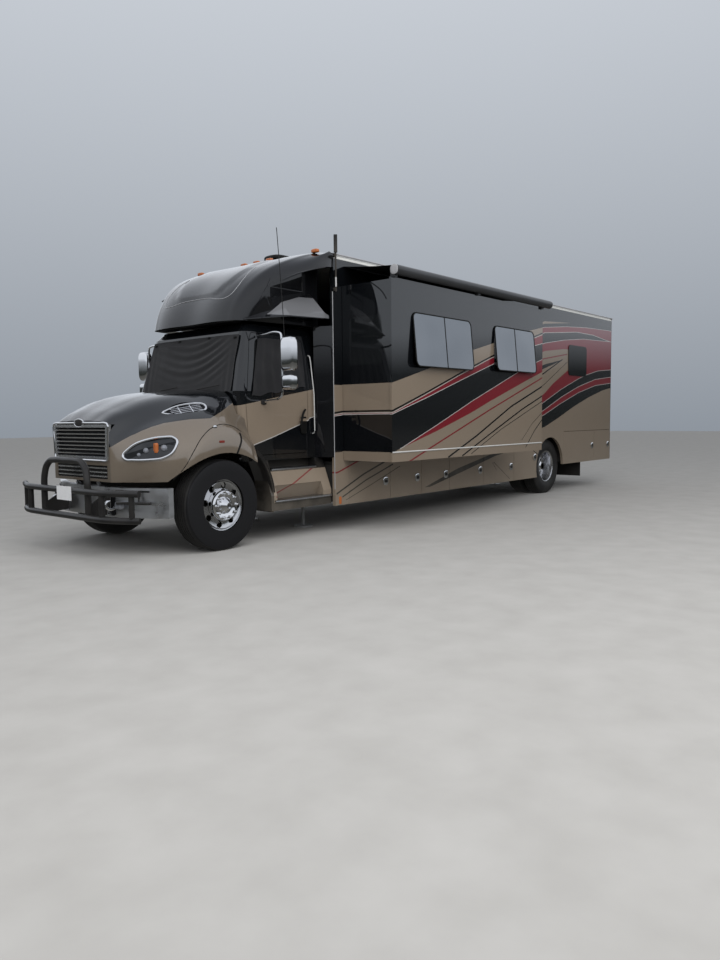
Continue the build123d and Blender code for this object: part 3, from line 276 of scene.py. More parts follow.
wedge_top = [(-3.184, 0.930), (-3.186, 0.948), (-3.921, 1.225), (-4.928, 1.652), (-6.006, 2.001),
             (-7.681, 2.451), (-8.447, 2.575)]
wedge_low = [(-3.184, 0.930), (-3.186, 0.920), (-3.921, 1.197), (-4.928, 1.624), (-6.006, 1.973),
             (-7.682, 2.379), (-8.447, 2.575)]
skirt_top = [(-3.80, 0.435), (-4.695, 0.666), (-5.702, 0.845), (-6.311, 0.869)]
skirt_low = [(-3.80, 0.435), (-3.93, 0.43), (-5.039, 0.646), (-5.877, 0.814), (-6.311, 0.869)]
fine_lines = [(red_colour, 0.011, [(-1.534, 0.80), (-1.828, 0.775), (-2.303, 0.925), (-2.785, 1.086),
                                   (-4.301, 1.589), (-5.967, 2.115), (-7.63, 2.55), (-8.633, 2.691)]),
              (black_colour, 0.012, [(-3.544, 0.939), (-4.303, 1.232), (-5.263, 1.591), (-6.009, 1.833),
                                     (-7.635, 2.28), (-8.42, 2.579)]),
              (black_colour, 0.006, [(-3.78, 0.959), (-4.611, 1.289), (-6.011, 1.747), (-7.639, 2.066),
                                     (-8.637, 2.542)]),
              (black_colour, 0.005, [(-5.269, 1.111), (-5.615, 1.372), (-6.015, 1.574)]),
              (black_colour, 0.010, [(-5.392, 0.99), (-5.689, 1.252), (-6.017, 1.471)]),
              (black_colour, 0.012, [(-1.81, 0.497), (-2.35, 0.719), (-2.948, 0.909)]),
              (black_colour, 0.010, [(-1.925, 0.448), (-2.412, 0.639), (-3.016, 0.826)]),
              (black_colour, 0.005, [(-1.994, 0.402), (-2.541, 0.575), (-3.18, 0.788)]),
              (tan_colour, 0.006, [(-4.30, 0.52), (-5.60, 0.80)]),
              (black_colour, 0.006, [(-5.773, 0.711), (-5.914, 0.568)]),
              (black_colour, 0.006, [(-5.813, 0.714), (-6.371, 0.387)]),
              (black_colour, 0.007, [(-7.125, 0.893), (-7.459, 0.763)])]


def livery_group():
    """The livery as one shader group: tan ground, then each band and line laid over it in turn."""
    tree = bpy.data.node_groups.new("livery", "ShaderNodeTree")
    tree.interface.new_socket("Colour", in_out="OUTPUT", socket_type="NodeSocketColor")
    spot = shaded_spot(tree)
    length = livery_front - livery_rear
    from_rear = math_node(tree, "SUBTRACT", spot[0], axle_x + livery_rear)
    along = math_node(tree, "DIVIDE", from_rear, length)
    height = math_node(tree, "DIVIDE", spot[2], livery_height)

    def edge_height(points):
        """Height of an edge at each place along the side."""
        return drawn_line(tree, along, points, livery_rear, livery_front, livery_height)

    def over(below, colour, mask):
        """A colour laid over what is below it, where the mask is one."""
        return two_tone(tree, mask, below, colour)

    def above(edge):
        """One above an edge."""
        return math_node(tree, "GREATER_THAN", height, edge)

    def between(low, top):
        """One above the low edge and below the top one."""
        return where_all(tree, above(low), math_node(tree, "LESS_THAN", height, top))

    def thickened(edge, half):
        """One less than half a line's width away from an edge."""
        gap = math_node(tree, "ABSOLUTE", math_node(tree, "SUBTRACT", height, edge))
        return math_node(tree, "LESS_THAN", gap, half / livery_height)

    def within(low_x, high_x):
        """One between two places along the side."""
        low = (low_x - livery_rear) / length
        high = (high_x - livery_rear) / length
        return where_all(tree, math_node(tree, "GREATER_THAN", along, low),
                         math_node(tree, "LESS_THAN", along, high))

    lines = {"tan_top": tan_top, "red_one_top": red_one_top, "red_one_low": red_one_low,
             "black_low": black_low, "red_two_low": red_two_low, "sweep_top": sweep_top,
             "sweep_red": sweep_red, "sweep_black": sweep_black, "sweep_line": sweep_line,
             "sweep_low": sweep_low, "tan_low": tan_low, "wedge_top": wedge_top, "wedge_low": wedge_low,
             "skirt_top": skirt_top, "skirt_low": skirt_low}
    edges = {name: edge_height(points) for name, points in lines.items()}
    colour = over(tan_colour, black_colour, above(edges["tan_top"]))
    rear_gap = between(edges["red_one_top"], edges["tan_low"])
    colour = over(colour, black_colour, where_all(tree, rear_gap, within(-10.95, -6.03)))
    dark_line = math_node(tree, "ADD", edges["red_one_top"], 0.023 / livery_height)
    colour = over(colour, black_colour, thickened(dark_line, 0.012))
    colour = over(colour, red_colour, between(edges["red_one_low"], edges["red_one_top"]))
    colour = over(colour, black_colour, between(edges["black_low"], edges["red_one_low"]))
    colour = over(colour, red_colour, between(edges["red_two_low"], edges["black_low"]))
    for tone, half, points in fine_lines:
        xs = [x for x, z in points]
        fine_line = thickened(edge_height(points), half)
        colour = over(colour, tone, where_all(tree, fine_line, within(min(xs), max(xs))))
    for tone, low, top, rear, front in ((black_colour, "wedge_low", "wedge_top", -8.447, -3.184),
                                        (red_colour, "sweep_red", "sweep_top", -9.40, -6.2),
                                        (black_colour, "sweep_black", "sweep_red", -10.95, -6.2),
                                        (red_colour, "sweep_line", "sweep_black", -10.95, -6.2),
                                        (black_colour, "sweep_low", "sweep_line", -10.95, -6.2),
                                        (black_colour, "skirt_low", "skirt_top", -6.311, -3.80)):
        band = between(edges[low], edges[top])
        colour = over(colour, tone, where_all(tree, band, within(rear, front)))
    for name, half, rear, front in (("red_one_top", 0.004, -10.95, -1.4),
                                    ("red_one_low", 0.005, -10.95, -1.4), ("black_low", 0.0045, -10.95, -2.1),
                                    ("sweep_red", 0.005, -10.95, -6.3), ("sweep_black", 0.005, -10.95, -6.3),
                                    ("sweep_line", 0.005, -10.95, -6.3)):
        silver_line = thickened(edges[name], half)
        colour = over(colour, silver_colour, where_all(tree, silver_line, within(rear, front)))
    tree.links.new(colour, add_node(tree, "NodeGroupOutput").inputs[0])
    return tree


road_dust = (0.30, 0.26, 0.21)


def dusty(tree, colour, low, high, strength):
    """Road dust over a colour, thickest at the low height and gone at the high one, in soft patches."""
    fade = add_node(tree, "ShaderNodeMapRange", shaded_spot(tree)[2], low, high, strength, 0.0).outputs[0]
    noise = add_node(tree, "ShaderNodeTexNoise", object_point(tree), None, 2.6, 5.0).outputs[0]
    patch = add_node(tree, "ShaderNodeMapRange", noise, 0.35, 0.70, 0.3, 1.0).outputs[0]
    return two_tone(tree, math_node(tree, "MULTIPLY", fade, patch), colour, road_dust)


def flake(tree, colour, amount=0.10):
    """Metallic flake: fine noise that lightens and darkens a paint a little."""
    noise = add_node(tree, "ShaderNodeTexNoise", object_point(tree), None, 420.0, 2.0).outputs[0]
    level = add_node(tree, "ShaderNodeMapRange", noise, 0.3, 0.7, 1 - amount, 1 + amount).outputs[0]
    return add_node(tree, "ShaderNodeVectorMath", colour, level, operation="MULTIPLY").outputs[0]


livery_paint = make_material("livery_paint", tan_colour, 0.35, coat=1.0, coat_roughness=0.02, specular=0.10,
                             coat_ior=1.7)
livery_tree = livery_paint.node_tree
livery_node = add_node(livery_tree, "ShaderNodeGroup", node_tree=livery_group())
livery_colour = flake(livery_tree, livery_node.outputs[0])
feed(livery_paint, "Base Color", dusty(livery_tree, livery_colour, 0.3, 1.0, 0.35))


def paint_nodes(made, *names):
    """Give one finish to every material slot of the named solids."""
    for name in names:
        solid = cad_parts[name]
        if not solid.data.materials:
            solid.data.materials.append(made)
        for spot in solid.material_slots:
            spot.material = made


locker_doors = [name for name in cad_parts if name.startswith("baggage_door")]
paint_nodes(livery_paint, "wall_left", "wall_right", "slide_room", "entry_door", *locker_doors)

# Hood: one tilting fibreglass moulding with both fenders, black on top and metallic tan on the flanks,
# with flared wheel arches. The flank tan is the walls' tan painted about a fifth darker, as painted shade.
# It is a hollow skin, smooth through the stations of the solid model, each given as (distance from the
# front axle, half outline of (sideways, height) from the middle down).
shaded_hood_tan = (0.160, 0.130, 0.100)
hood_stations = ((1.045, ((0, 1.492), (0.270, 1.490), (0.520, 1.450), (0.578, 1.280), (0.590, 1.200),
                          (0.596, 1.050), (0.600, 0.822))),
                 (0.960, ((0, 1.562), (0.300, 1.560), (0.540, 1.500), (0.610, 1.330), (0.665, 1.240),
                          (0.705, 1.120), (0.712, 0.822))),
                 (0.820, ((0, 1.640), (0.330, 1.632), (0.585, 1.565), (0.690, 1.410), (0.800, 1.330),
                          (0.905, 1.190), (0.918, 0.822))),
                 (0.600, ((0, 1.730), (0.370, 1.722), (0.630, 1.655), (0.790, 1.505), (0.970, 1.405),
                          (1.090, 1.250), (1.105, 0.822))),
                 (0.300, ((0, 1.800), (0.400, 1.790), (0.690, 1.735), (0.893, 1.600), (1.065, 1.480),
                          (1.185, 1.330), (1.195, 0.822))),
                 (0.000, ((0, 1.833), (0.430, 1.826), (0.730, 1.775), (0.925, 1.655), (1.095, 1.515),
                          (1.200, 1.370), (1.200, 0.822))),
                 (-0.200, ((0, 1.846), (0.450, 1.840), (0.800, 1.790), (0.940, 1.690), (1.095, 1.500),
                           (1.200, 1.340), (1.200, 0.822))),
                 (-0.468, ((0, 1.854), (0.470, 1.848), (0.850, 1.805), (0.975, 1.640), (1.085, 1.330),
                           (1.200, 1.150), (1.200, 0.822))))


def spline(points, steps):
    """Smooth curve through rows of points: on each span p = (2t3-3t2+1) p0 + (t3-2t2+t) m0 + (3t2-2t3) p1 +
    (t3-t2) m1, where each tangent m is that of the parabola through a point and its two neighbours."""
    points = np.asarray(points, dtype=float)
    gap = np.linalg.norm(np.diff(points, axis=0), axis=-1)
    gap = gap.reshape(len(gap), -1).mean(axis=1) + 1e-9
    shape = (-1,) + (1,) * (points.ndim - 1)
    gap = gap.reshape(shape)
    slope = np.diff(points, axis=0) / gap
    inner = (slope[:-1] * gap[1:] + slope[1:] * gap[:-1]) / (gap[:-1] + gap[1:])
    tangent = np.concatenate([2 * slope[:1] - inner[:1], inner, 2 * slope[-1:] - inner[-1:]])
    t = np.linspace(0, 1, steps, endpoint=False).reshape((1, steps) + (1,) * (points.ndim - 1))
    start, stop = points[:-1, None], points[1:, None]
    leave, arrive = (tangent[:-1] * gap)[:, None], (tangent[1:] * gap)[:, None]
    curve = (2 * t**3 - 3 * t**2 + 1) * start + (t**3 - 2 * t**2 + t) * leave
    curve = curve + (3 * t**2 - 2 * t**3) * stop + (t**3 - t**2) * arrive
    return np.concatenate([curve.reshape((-1,) + points.shape[1:]), points[-1:]])


def grid_faces(rows, columns, wrap_rows=False, wrap_columns=False):
    """Quads between neighbouring points of a grid of rows by columns, closed on itself where asked."""
    index = np.arange(rows * columns).reshape(rows, columns)
    if wrap_rows:
        index = np.concatenate([index, index[:1]])
    if wrap_columns:
        index = np.concatenate([index, index[:, :1]], axis=1)
    return np.stack([index[:-1, :-1], index[:-1, 1:], index[1:, 1:], index[1:, :-1]], axis=-1).reshape(-1, 4)


def piece(name, points, faces, made, body, angle=40, tidy=True):
    """A piece of the scene from points in the vehicle's lengths, on one body, smooth below an edge angle."""
    mesh = bpy.data.meshes.new(name)
    moved = np.asarray(points, dtype=float).reshape(-1, 3) + (axle_x, middle_y, 0)
    mesh.from_pydata(moved.tolist(), [], faces.tolist() if hasattr(faces, "tolist") else faces)
    shape = bmesh.new()
    shape.from_mesh(mesh)
    if tidy:
        bmesh.ops.remove_doubles(shape, verts=shape.verts, dist=1e-5)
        bmesh.ops.dissolve_degenerate(shape, dist=1e-6, edges=shape.edges)
        bmesh.ops.recalc_face_normals(shape, faces=shape.faces)
    shape.to_mesh(mesh)
    shape.free()
    mesh.polygons.foreach_set("use_smooth", np.ones(len(mesh.polygons), dtype=bool))
    mesh.set_sharp_from_angle(angle=math.radians(angle))
    made_object = bpy.data.objects.new(name, mesh)
    bpy.context.scene.collection.objects.link(made_object)
    if made is not None:
        mesh.materials.append(made)
    if body:
        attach(made_object, body)
    return made_object


def shell(outer, inner, close_first=False):
    """Points and faces of a closed skin between an outer and an inner grid of the same size. Where the first
    rows are flat, one flat face may close each of them, so that the skin has a front."""
    rows, columns = outer.shape[:2]
    base = rows * columns
    index = np.arange(base).reshape(rows, columns)
    faces = [grid_faces(rows, columns), grid_faces(rows, columns)[:, ::-1] + base]
    edges = [index[-1], index[:, 0], index[:, -1]] + ([] if close_first else [index[0]])
    for edge in edges:
        faces.append(np.stack([edge[:-1], edge[1:], edge[1:] + base, edge[:-1] + base], axis=-1))
    faces = np.concatenate(faces).tolist()
    if close_first:
        faces += [index[0].tolist(), (index[0][::-1] + base).tolist(),
                  [int(index[0, 0]), int(index[0, -1]), int(index[0, -1] + base), int(index[0, 0] + base)]]
    return np.concatenate([outer.reshape(-1, 3), inner.reshape(-1, 3)]), faces


def prism(outline, origin, across, upward, low, high):
    """Points and faces of a straight block: an outline in a plane, carried square to it from low to high."""
    across, upward = np.asarray(across, dtype=float), np.asarray(upward, dtype=float)
    normal = np.cross(across, upward)
    flat = np.asarray(outline, dtype=float)
    ring = np.asarray(origin) + flat[:, :1] * across + flat[:, 1:] * upward
    count = len(ring)
    first = np.arange(count)
    after = np.roll(first, -1)
    faces = [first.tolist(), (first[::-1] + count).tolist()]
    faces += np.column_stack([first, after, after + count, first + count]).tolist()
    return np.concatenate([ring + normal * low, ring + normal * high]), faces


def front_block(outline, low, high, origin=(0, 0, 0)):
    """A straight block seen from the front: an outline of (sideways, height), from low to high forwards."""
    return prism(outline, origin, (0, 1, 0), (0, 0, 1), low, high)


def side_block(outline, low, high, origin=(0, 0, 0)):
    """A straight block seen from the side: an outline of (along, height), from low to high rightwards."""
    return prism(outline, origin, (1, 0, 0), (0, 0, 1), low, high)


def cut(target, *blocks):
    """Take closed blocks of space out of a closed piece, once and for all."""
    for points, faces in blocks:
        cutter = piece("cutter", points, faces, None, None)
        modifier = target.modifiers.new("cut", "BOOLEAN")
        modifier.object = cutter
        modifier.solver = "EXACT"
        shaped = bpy.data.meshes.new_from_object(target.evaluated_get(bpy.context.evaluated_depsgraph_get()))
        target.modifiers.clear()
        target.data = shaped
        bpy.data.objects.remove(cutter)
    target.data.polygons.foreach_set("use_smooth", np.ones(len(target.data.polygons), dtype=bool))
    target.data.set_sharp_from_angle(angle=math.radians(32))


flare_seam = ((-0.40, 1.25), (-0.281, 1.342), (-0.183, 1.401), (-0.046, 1.432), (0.153, 1.389),
              (0.310, 1.282), (0.424, 1.140), (0.520, 0.981), (0.619, 0.841), (0.66, 0.780))


def hood_grid(inset):
    """Grid over the hood: the stations moved in by the inset, joined across and along by smooth curves, with
    the fender flare raised below its seam and a small rounding at the front."""
    rows = []
    for x, half in hood_stations:
        half = np.array(half)
        before = np.concatenate([[(-half[1, 0], half[1, 1])], half[:-1]])
        after = np.concatenate([half[1:], [(half[-1, 0], half[-1, 1] - 0.1)]])
        along = after - before
        along /= np.linalg.norm(along, axis=1)[:, None]
        moved = half + inset * np.stack([along[:, 1], -along[:, 0]], axis=1)
        moved[-1, 1] = half[-1, 1]
        both = np.concatenate([moved[::-1] * (-1, 1), moved[1:]])
        station = x - inset if x > 1 else x
        rows.append(np.column_stack([np.full(len(both), station), both]))
    grid = spline(np.array(rows), 14)
    grid = spline(grid.transpose(1, 0, 2), 12).transpose(1, 0, 2)
    seam_x, seam_z = np.array(flare_seam).T
    seam = np.interp(grid[..., 0], seam_x, seam_z, left=0.0, right=0.0)
    rise = np.clip((seam - grid[..., 2]) / 0.025, 0, 1) * np.clip((np.abs(grid[..., 1]) - 0.9) / 0.1, 0, 1)
    grid[..., 1] += np.sign(grid[..., 1]) * 0.012 * rise * rise * (3 - 2 * rise)
    lead = grid[:1].copy()
    lead[..., 0] += 0.006
    lead[..., 1] *= 0.985
    lead[..., 2] = 1.1 + (lead[..., 2] - 1.1) * 0.985
    lead[:, 0, 2] = lead[:, -1, 2] = 0.822
    return np.concatenate([lead, grid])


def arc_disc(radius, height, steps=72):
    """Outline of a circle as (along, height): its radius times the cosine and sine, about a middle height."""
    turn = np.linspace(0, 2 * np.pi, steps, endpoint=False)
    return np.column_stack([radius * np.cos(turn), height + radius * np.sin(turn)])


lamp_outline = np.array(((0.700, 1.100), (0.722, 1.166), (0.792, 1.228), (0.903, 1.279), (1.010, 1.300),
                         (1.072, 1.295), (1.114, 1.262), (1.122, 1.195), (1.112, 1.135), (1.062, 1.085),
                         (0.945, 1.066), (0.725, 1.070)))


def leaf(shrink, steps=14):
    """Outline of the oval side vent: three arcs, each through (start, middle, end)."""
    arcs = (((0.268 - shrink, 0), (0.020, 0.094 - shrink), (-0.205, 0.072 - shrink)),
            ((-0.205, 0.072 - shrink), (-0.262 + shrink, 0), (-0.205, -0.072 + shrink)),
            ((-0.205, -0.072 + shrink), (0.020, -0.094 + shrink), (0.268 - shrink, 0)))
    points = []
    for (ax, ay), (bx, by), (cx, cy) in arcs:
        d = 2 * (ax * (by - cy) + bx * (cy - ay) + cx * (ay - by))
        ux = ((ax**2 + ay**2) * (by - cy) + (bx**2 + by**2) * (cy - ay) + (cx**2 + cy**2) * (ay - by)) / d
        uy = ((ax**2 + ay**2) * (cx - bx) + (bx**2 + by**2) * (ax - cx) + (cx**2 + cy**2) * (bx - ax)) / d
        radius = math.hypot(ax - ux, ay - uy)
        first, middle, last = (math.atan2(y - uy, x - ux) for x, y in ((ax, ay), (bx, by), (cx, cy)))
        span = (last - first) % (2 * math.pi)
        if (middle - first) % (2 * math.pi) > span:
            span -= 2 * math.pi
        turn = first + span * np.linspace(0, 1, steps, endpoint=False)
        points.append(np.column_stack([ux + radius * np.cos(turn), uy + radius * np.sin(turn)]))
    return np.concatenate(points)


def vent_place(side):
    """Middle of an oval side vent, and the directions along it and straight out of the hood."""
    return np.array(((0.262, side * 0.860, 1.597), (0.946, side * -0.287, -0.151),
                     (0.290, side * 0.542, 0.789)))


paint_edge = [(-1.0, 1.73), (-0.468, 1.70), (-0.355, 1.677), (-0.101, 1.571), (0.093, 1.500), (0.325, 1.492),
              (0.458, 1.474), (0.582, 1.453), (0.700, 1.413), (0.789, 1.371), (0.880, 1.318), (0.962, 1.261),
              (1.045, 1.20)]


def line_height(tree, points, low_x, high_x, tall):
    """Heights of a drawn line and of the shaded spot, both over a largest height."""
    spot = shaded_spot(tree)
    rear, front = axle_x + low_x, axle_x + high_x
    along = add_node(tree, "ShaderNodeMapRange", spot[0], rear, front, 0.0, 1.0).outputs[0]
    return drawn_line(tree, along, points, low_x, high_x, tall), math_node(tree, "DIVIDE", spot[2], tall)


hood_paint = make_material("hood_paint", shaded_hood_tan, 0.32, coat=1.0, coat_roughness=0.02, specular=0.10,
                           coat_ior=1.7)
hood_tree = hood_paint.node_tree
edge, height = line_height(hood_tree, paint_edge, -1.0, 1.1, 2.0)
hood_dark = math_node(hood_tree, "GREATER_THAN", height, edge)
hood_bright = math_node(hood_tree, "SUBTRACT", 1.0, hood_dark)
feed(hood_paint, "Metallic", math_node(hood_tree, "MULTIPLY", hood_bright, 0.35))
# Flanks: the walls' tan painted darker, as painted shade; top: black paint.
hood_colour = two_tone(hood_tree, hood_dark, flake(hood_tree, shaded_hood_tan, 0.14), black_colour)
feed(hood_paint, "Base Color", dusty(hood_tree, hood_colour, 0.75, 1.25, 0.35))

hood_skin = piece("hood_skin", *shell(hood_grid(0), hood_grid(0.012), close_first=True), hood_paint, "hood")
grille_opening = front_block([(-0.545, 1.060), (0.545, 1.060), (0.568, 1.445), (-0.568, 1.445)], 0.9, 1.2)
intake_opening = front_block([(-0.53, 0.852), (0.53, 0.852), (0.53, 1.0), (-0.53, 1.0)], 0.9, 1.2)
cab_opening = side_block([(-0.712, 0.3), (-0.352, 0.3), (-0.352, 1.95), (-0.712, 1.95)], -1.027, 1.027)
hood_blocks = [grille_opening, intake_opening, cab_opening]
for side in (1, -1):
    near, far = sorted((-side * 0.62, -side * 1.5))
    wheel_arch = side_block(arc_disc(0.9, 0.213), near, far)
    lamp_opening = front_block(lamp_outline * (side, 1), 0.35, 1.25)
    middle, across, facing = vent_place(side)
    vent_opening = prism(leaf(0), middle, across, np.cross(facing, across), -0.06, 0.06)
    hood_blocks += [wheel_arch, lamp_opening, vent_opening]
cut(hood_skin, *hood_blocks)
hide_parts("hood")

# Cab: pressed steel shell and doors, black above and below a metallic tan band that carries on from the
# hood, with one silver pinstripe along the foot of the band. Each edge is a line of points (along, height).
cab_paint = make_material("cab_paint", black_colour, 0.30, coat=1.0, coat_roughness=0.02, specular=0.10,
                          coat_ior=1.6)
cab_tree = cab_paint.node_tree
cab_band_top = [(-1.85, 1.90), (-1.636, 1.856), (-1.155, 1.777), (-0.685, 1.694), (-0.28, 1.625)]
cab_band_low = [(-1.85, 1.545), (-1.602, 1.494), (-1.394, 1.406), (-0.950, 1.266), (-0.614, 1.173),
                (-0.28, 1.09)]
top_edge, height = line_height(cab_tree, cab_band_top, -1.85, -0.28, 2.0)
low_edge = line_height(cab_tree, cab_band_low, -1.85, -0.28, 2.0)[0]
in_band = where_all(cab_tree, math_node(cab_tree, "LESS_THAN", height, top_edge),
                    math_node(cab_tree, "GREATER_THAN", height, low_edge))
over_low_edge = math_node(cab_tree, "SUBTRACT", height, low_edge)
pinstripe = math_node(cab_tree, "LESS_THAN", math_node(cab_tree, "ABSOLUTE", over_low_edge), 0.0028)
cab_colour = two_tone(cab_tree, in_band, black_colour, flake(cab_tree, tan_colour))
cab_colour = two_tone(cab_tree, pinstripe, cab_colour, silver_colour)
feed(cab_paint, "Base Color", dusty(cab_tree, cab_colour, 0.9, 1.3, 0.04))
paint_nodes(cab_paint, "cab_shell", "door_left", "door_right")

# Tyres: black rubber with five ribs round the tread. The front pair wear smooth black covers over their
# sidewalls, from the rim to the shoulder. The rear ones are twins on one hub.
wheel_height = 0.518
rear_axle = -7.98
front_wheel_y = 1.045
rear_wheel_y = 1.040
rear_dual = 0.336
both_sides = ((1, "left"), (-1, "right"))
rubber = grain(make_material("rubber", (0.014, 0.014, 0.015), 0.62), 260.0, 0.25)
mottle(rubber, (0.009, 0.009, 0.010), (0.030, 0.029, 0.027), 5.0)
cover_black = grain(make_material("cover_black", (0.012, 0.012, 0.013), 0.42), 30.0, 0.08, 0.003)


def turned(name, profile, x, made, body, turns=96, angle=40):
    """A turned ring: a closed profile of (radius, y) carried round the wheel axis at x."""
    radius, y = np.array(profile, dtype=float).T
    turn = np.linspace(0, 2 * np.pi, turns, endpoint=False)[:, None]
    grid = np.stack([x + radius * np.cos(turn), np.broadcast_to(y, (turns, len(y))),
                     wheel_height + radius * np.sin(turn)], axis=-1)
    return piece(name, grid.reshape(-1, 3), grid_faces(turns, len(y), True, True), made, body, angle)


def facing_out(profile, plane, side):
    """A profile of (radius, distance outwards) set on a plane of one side of the vehicle, as (radius, y)."""
    return [(radius, plane + side * out) for radius, out in profile]


def tyre_profile(centre):
    """Closed section of a tyre as (radius, y): bead, bulging sidewall, shoulder, ribbed tread and so back."""
    half = 0.142
    side = [(0.288, half - 0.058), (0.292, half - 0.040), (0.318, half - 0.020), (0.362, half - 0.004),
            (0.405, half), (0.448, half - 0.006), (0.478, half - 0.014), (0.500, half - 0.022),
            (0.512, half - 0.030), (0.518, half - 0.042)]
    ribs = []
    for middle in (0.078, 0.040, 0.0, -0.040, -0.078):
        ribs += [(0.518, middle + 0.007), (0.506, middle + 0.0045), (0.506, middle - 0.0045),
                 (0.518, middle - 0.007)]
    back = [(radius, -y) for radius, y in side[::-1]]
    inside = [(0.292, -half + 0.070), (0.430, -half + 0.030), (0.485, 0.0), (0.430, half - 0.030),
              (0.292, half - 0.070)]
    return [(radius, centre + y) for radius, y in side + ribs + back + inside]


for side, word in both_sides:
    body = f"wheel_front_{word}"
    front_tyre = turned(f"tyre_{word}", tyre_profile(side * front_wheel_y), 0, rubber, body, angle=35)
    cover = [(0.292, 0), (0.292, 0.004), (0.400, 0.0047), (0.486, 0.0035), (0.500, 0), (0.508, -0.012),
             (0.509, -0.030), (0.504, -0.018), (0.480, 0)]
    turned(f"tyre_cover_{word}", facing_out(cover, side * 1.1873, side), 0, cover_black, body)
    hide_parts(f"tyre_front_{word}")
    body = f"wheels_rear_{word}"
    outer_tyre = turned(f"rear_tyre_outer_{word}", tyre_profile(side * rear_wheel_y), rear_axle, rubber, body,
                        angle=35)
    inner_y = side * (rear_wheel_y - rear_dual)
    turned(f"rear_tyre_inner_{word}", tyre_profile(inner_y), rear_axle, rubber, body, angle=35)
    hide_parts(f"tyres_rear_{word}")

# Wheels: forged aluminium discs, machined bright and clear of paint, with round hand holes and a ring of
# chromed nuts. The front ones wear a chromed ring and hub cap, and the rear discs are dished deep inwards
# between the twin tyres, round a chromed hub.
polished = make_material("polished", (0.60, 0.60, 0.61), 0.16, 1.0)
mottle(polished, 0.12, 0.26, 3.0, 4.0, "Roughness")
chrome = make_material("chrome", (0.78, 0.78, 0.79), 0.05, 1.0)
mottle(chrome, 0.03, 0.10, 4.0, 4.0, "Roughness")
dark_metal = make_material("dark_metal", (0.018, 0.018, 0.019), 0.6)
mottle(dark_metal, (0.012, 0.012, 0.013), (0.034, 0.032, 0.030), 9.0)


def wheel_disc(name, side, x, centre, dish, body, holes, hole_radius, ring):
    """A forged disc: rim lip, barrel and dished face turned about the axle, with its round hand holes cut."""
    half = 0.118
    plane = centre + side * dish
    lip = centre + side * half
    profile = [(0.300, lip), (0.303, lip - side * 0.006), (0.300, lip - side * 0.014),
               (0.2875, lip - side * 0.030), (0.2875, centre - side * half), (0.272, centre - side * half),
               (0.272, plane - side * 0.030), (0.066, plane - side * 0.030), (0.066, plane + side * 0.001),
               (0.120, plane + side * 0.002), (0.150, plane), (0.180, plane - side * 0.002),
               (0.250, plane - side * 0.004), (0.266, plane + side * (0.004 if dish > 0 else -0.012)),
               (0.274, lip - side * 0.012), (0.280, lip - side * 0.003), (0.288, lip)]
    disc = turned(name, profile, x, polished, body)
    blocks = []
    for turn in np.arange(holes) * 2 * np.pi / holes + 0.16:
        middle = (x + ring * np.cos(turn), 0, wheel_height + ring * np.sin(turn))
        blocks.append(side_block(arc_disc(hole_radius, 0, 28), -plane - 0.06, -plane + 0.06, middle))
    cut(disc, *blocks)
    return disc


def nuts(name, side, x, plane, ring, body, count=10, size=0.0165, tall=0.036):
    """A ring of nuts in one piece: each a six-sided block narrowing to a domed end."""
    turn = (np.arange(count) * 2 * np.pi / count)[:, None, None]
    corner = np.arange(6) * np.pi / 3
    rows = np.array(((size, 0.0), (size, 0.6 * tall), (0.8 * size, 0.68 * tall), (0.7 * size, 0.92 * tall),
                     (0.35 * size, tall)))
    radius, rise = rows[:, :1], rows[:, 1:]
    grid = np.broadcast_arrays(x + ring * np.cos(turn) + radius * np.cos(corner), plane + side * rise,
                               wheel_height + ring * np.sin(turn) + radius * np.sin(corner))
    starts = 6 * len(rows) * np.arange(count)[:, None]
    sides = (grid_faces(len(rows), 6, False, True) + starts[:, None]).reshape(-1, 4)
    ends = starts + 6 * (len(rows) - 1) + np.arange(6)
    points = np.stack(grid, axis=-1).reshape(-1, 3)
    return piece(name, points, sides.tolist() + ends.tolist(), chrome, body, 30)


front_dish = 0.095
rear_dish = -0.085
hub_ring = [(0.0, 0.001), (0.186, 0.001), (0.188, 0.010), (0.178, 0.062), (0.168, 0.080), (0.160, 0.084),
            (0.122, 0.078), (0.110, 0.070), (0.0, 0.070)]
hub_cap = [(0.0, 0.130), (0.018, 0.130), (0.020, 0.138), (0.034, 0.140), (0.042, 0.134), (0.062, 0.112),
           (0.084, 0.090), (0.092, 0.080), (0.094, 0.068), (0.0, 0.068)]
hub_eye = [(0.0, 0.134), (0.014, 0.133), (0.017, 0.129), (0.0, 0.129)]
inner_rim = [(0.2875, -0.118), (0.2875, 0.118), (0.272, 0.118), (0.272, -0.118)]
inner_disc = [(0.073, -0.032), (0.273, -0.052), (0.273, -0.075), (0.073, -0.060)]
rear_hub = [(0.0, 0.135), (0.050, 0.135), (0.062, 0.128), (0.070, 0.112), (0.088, 0.104), (0.096, 0.020),
            (0.100, 0), (0.0, 0)]
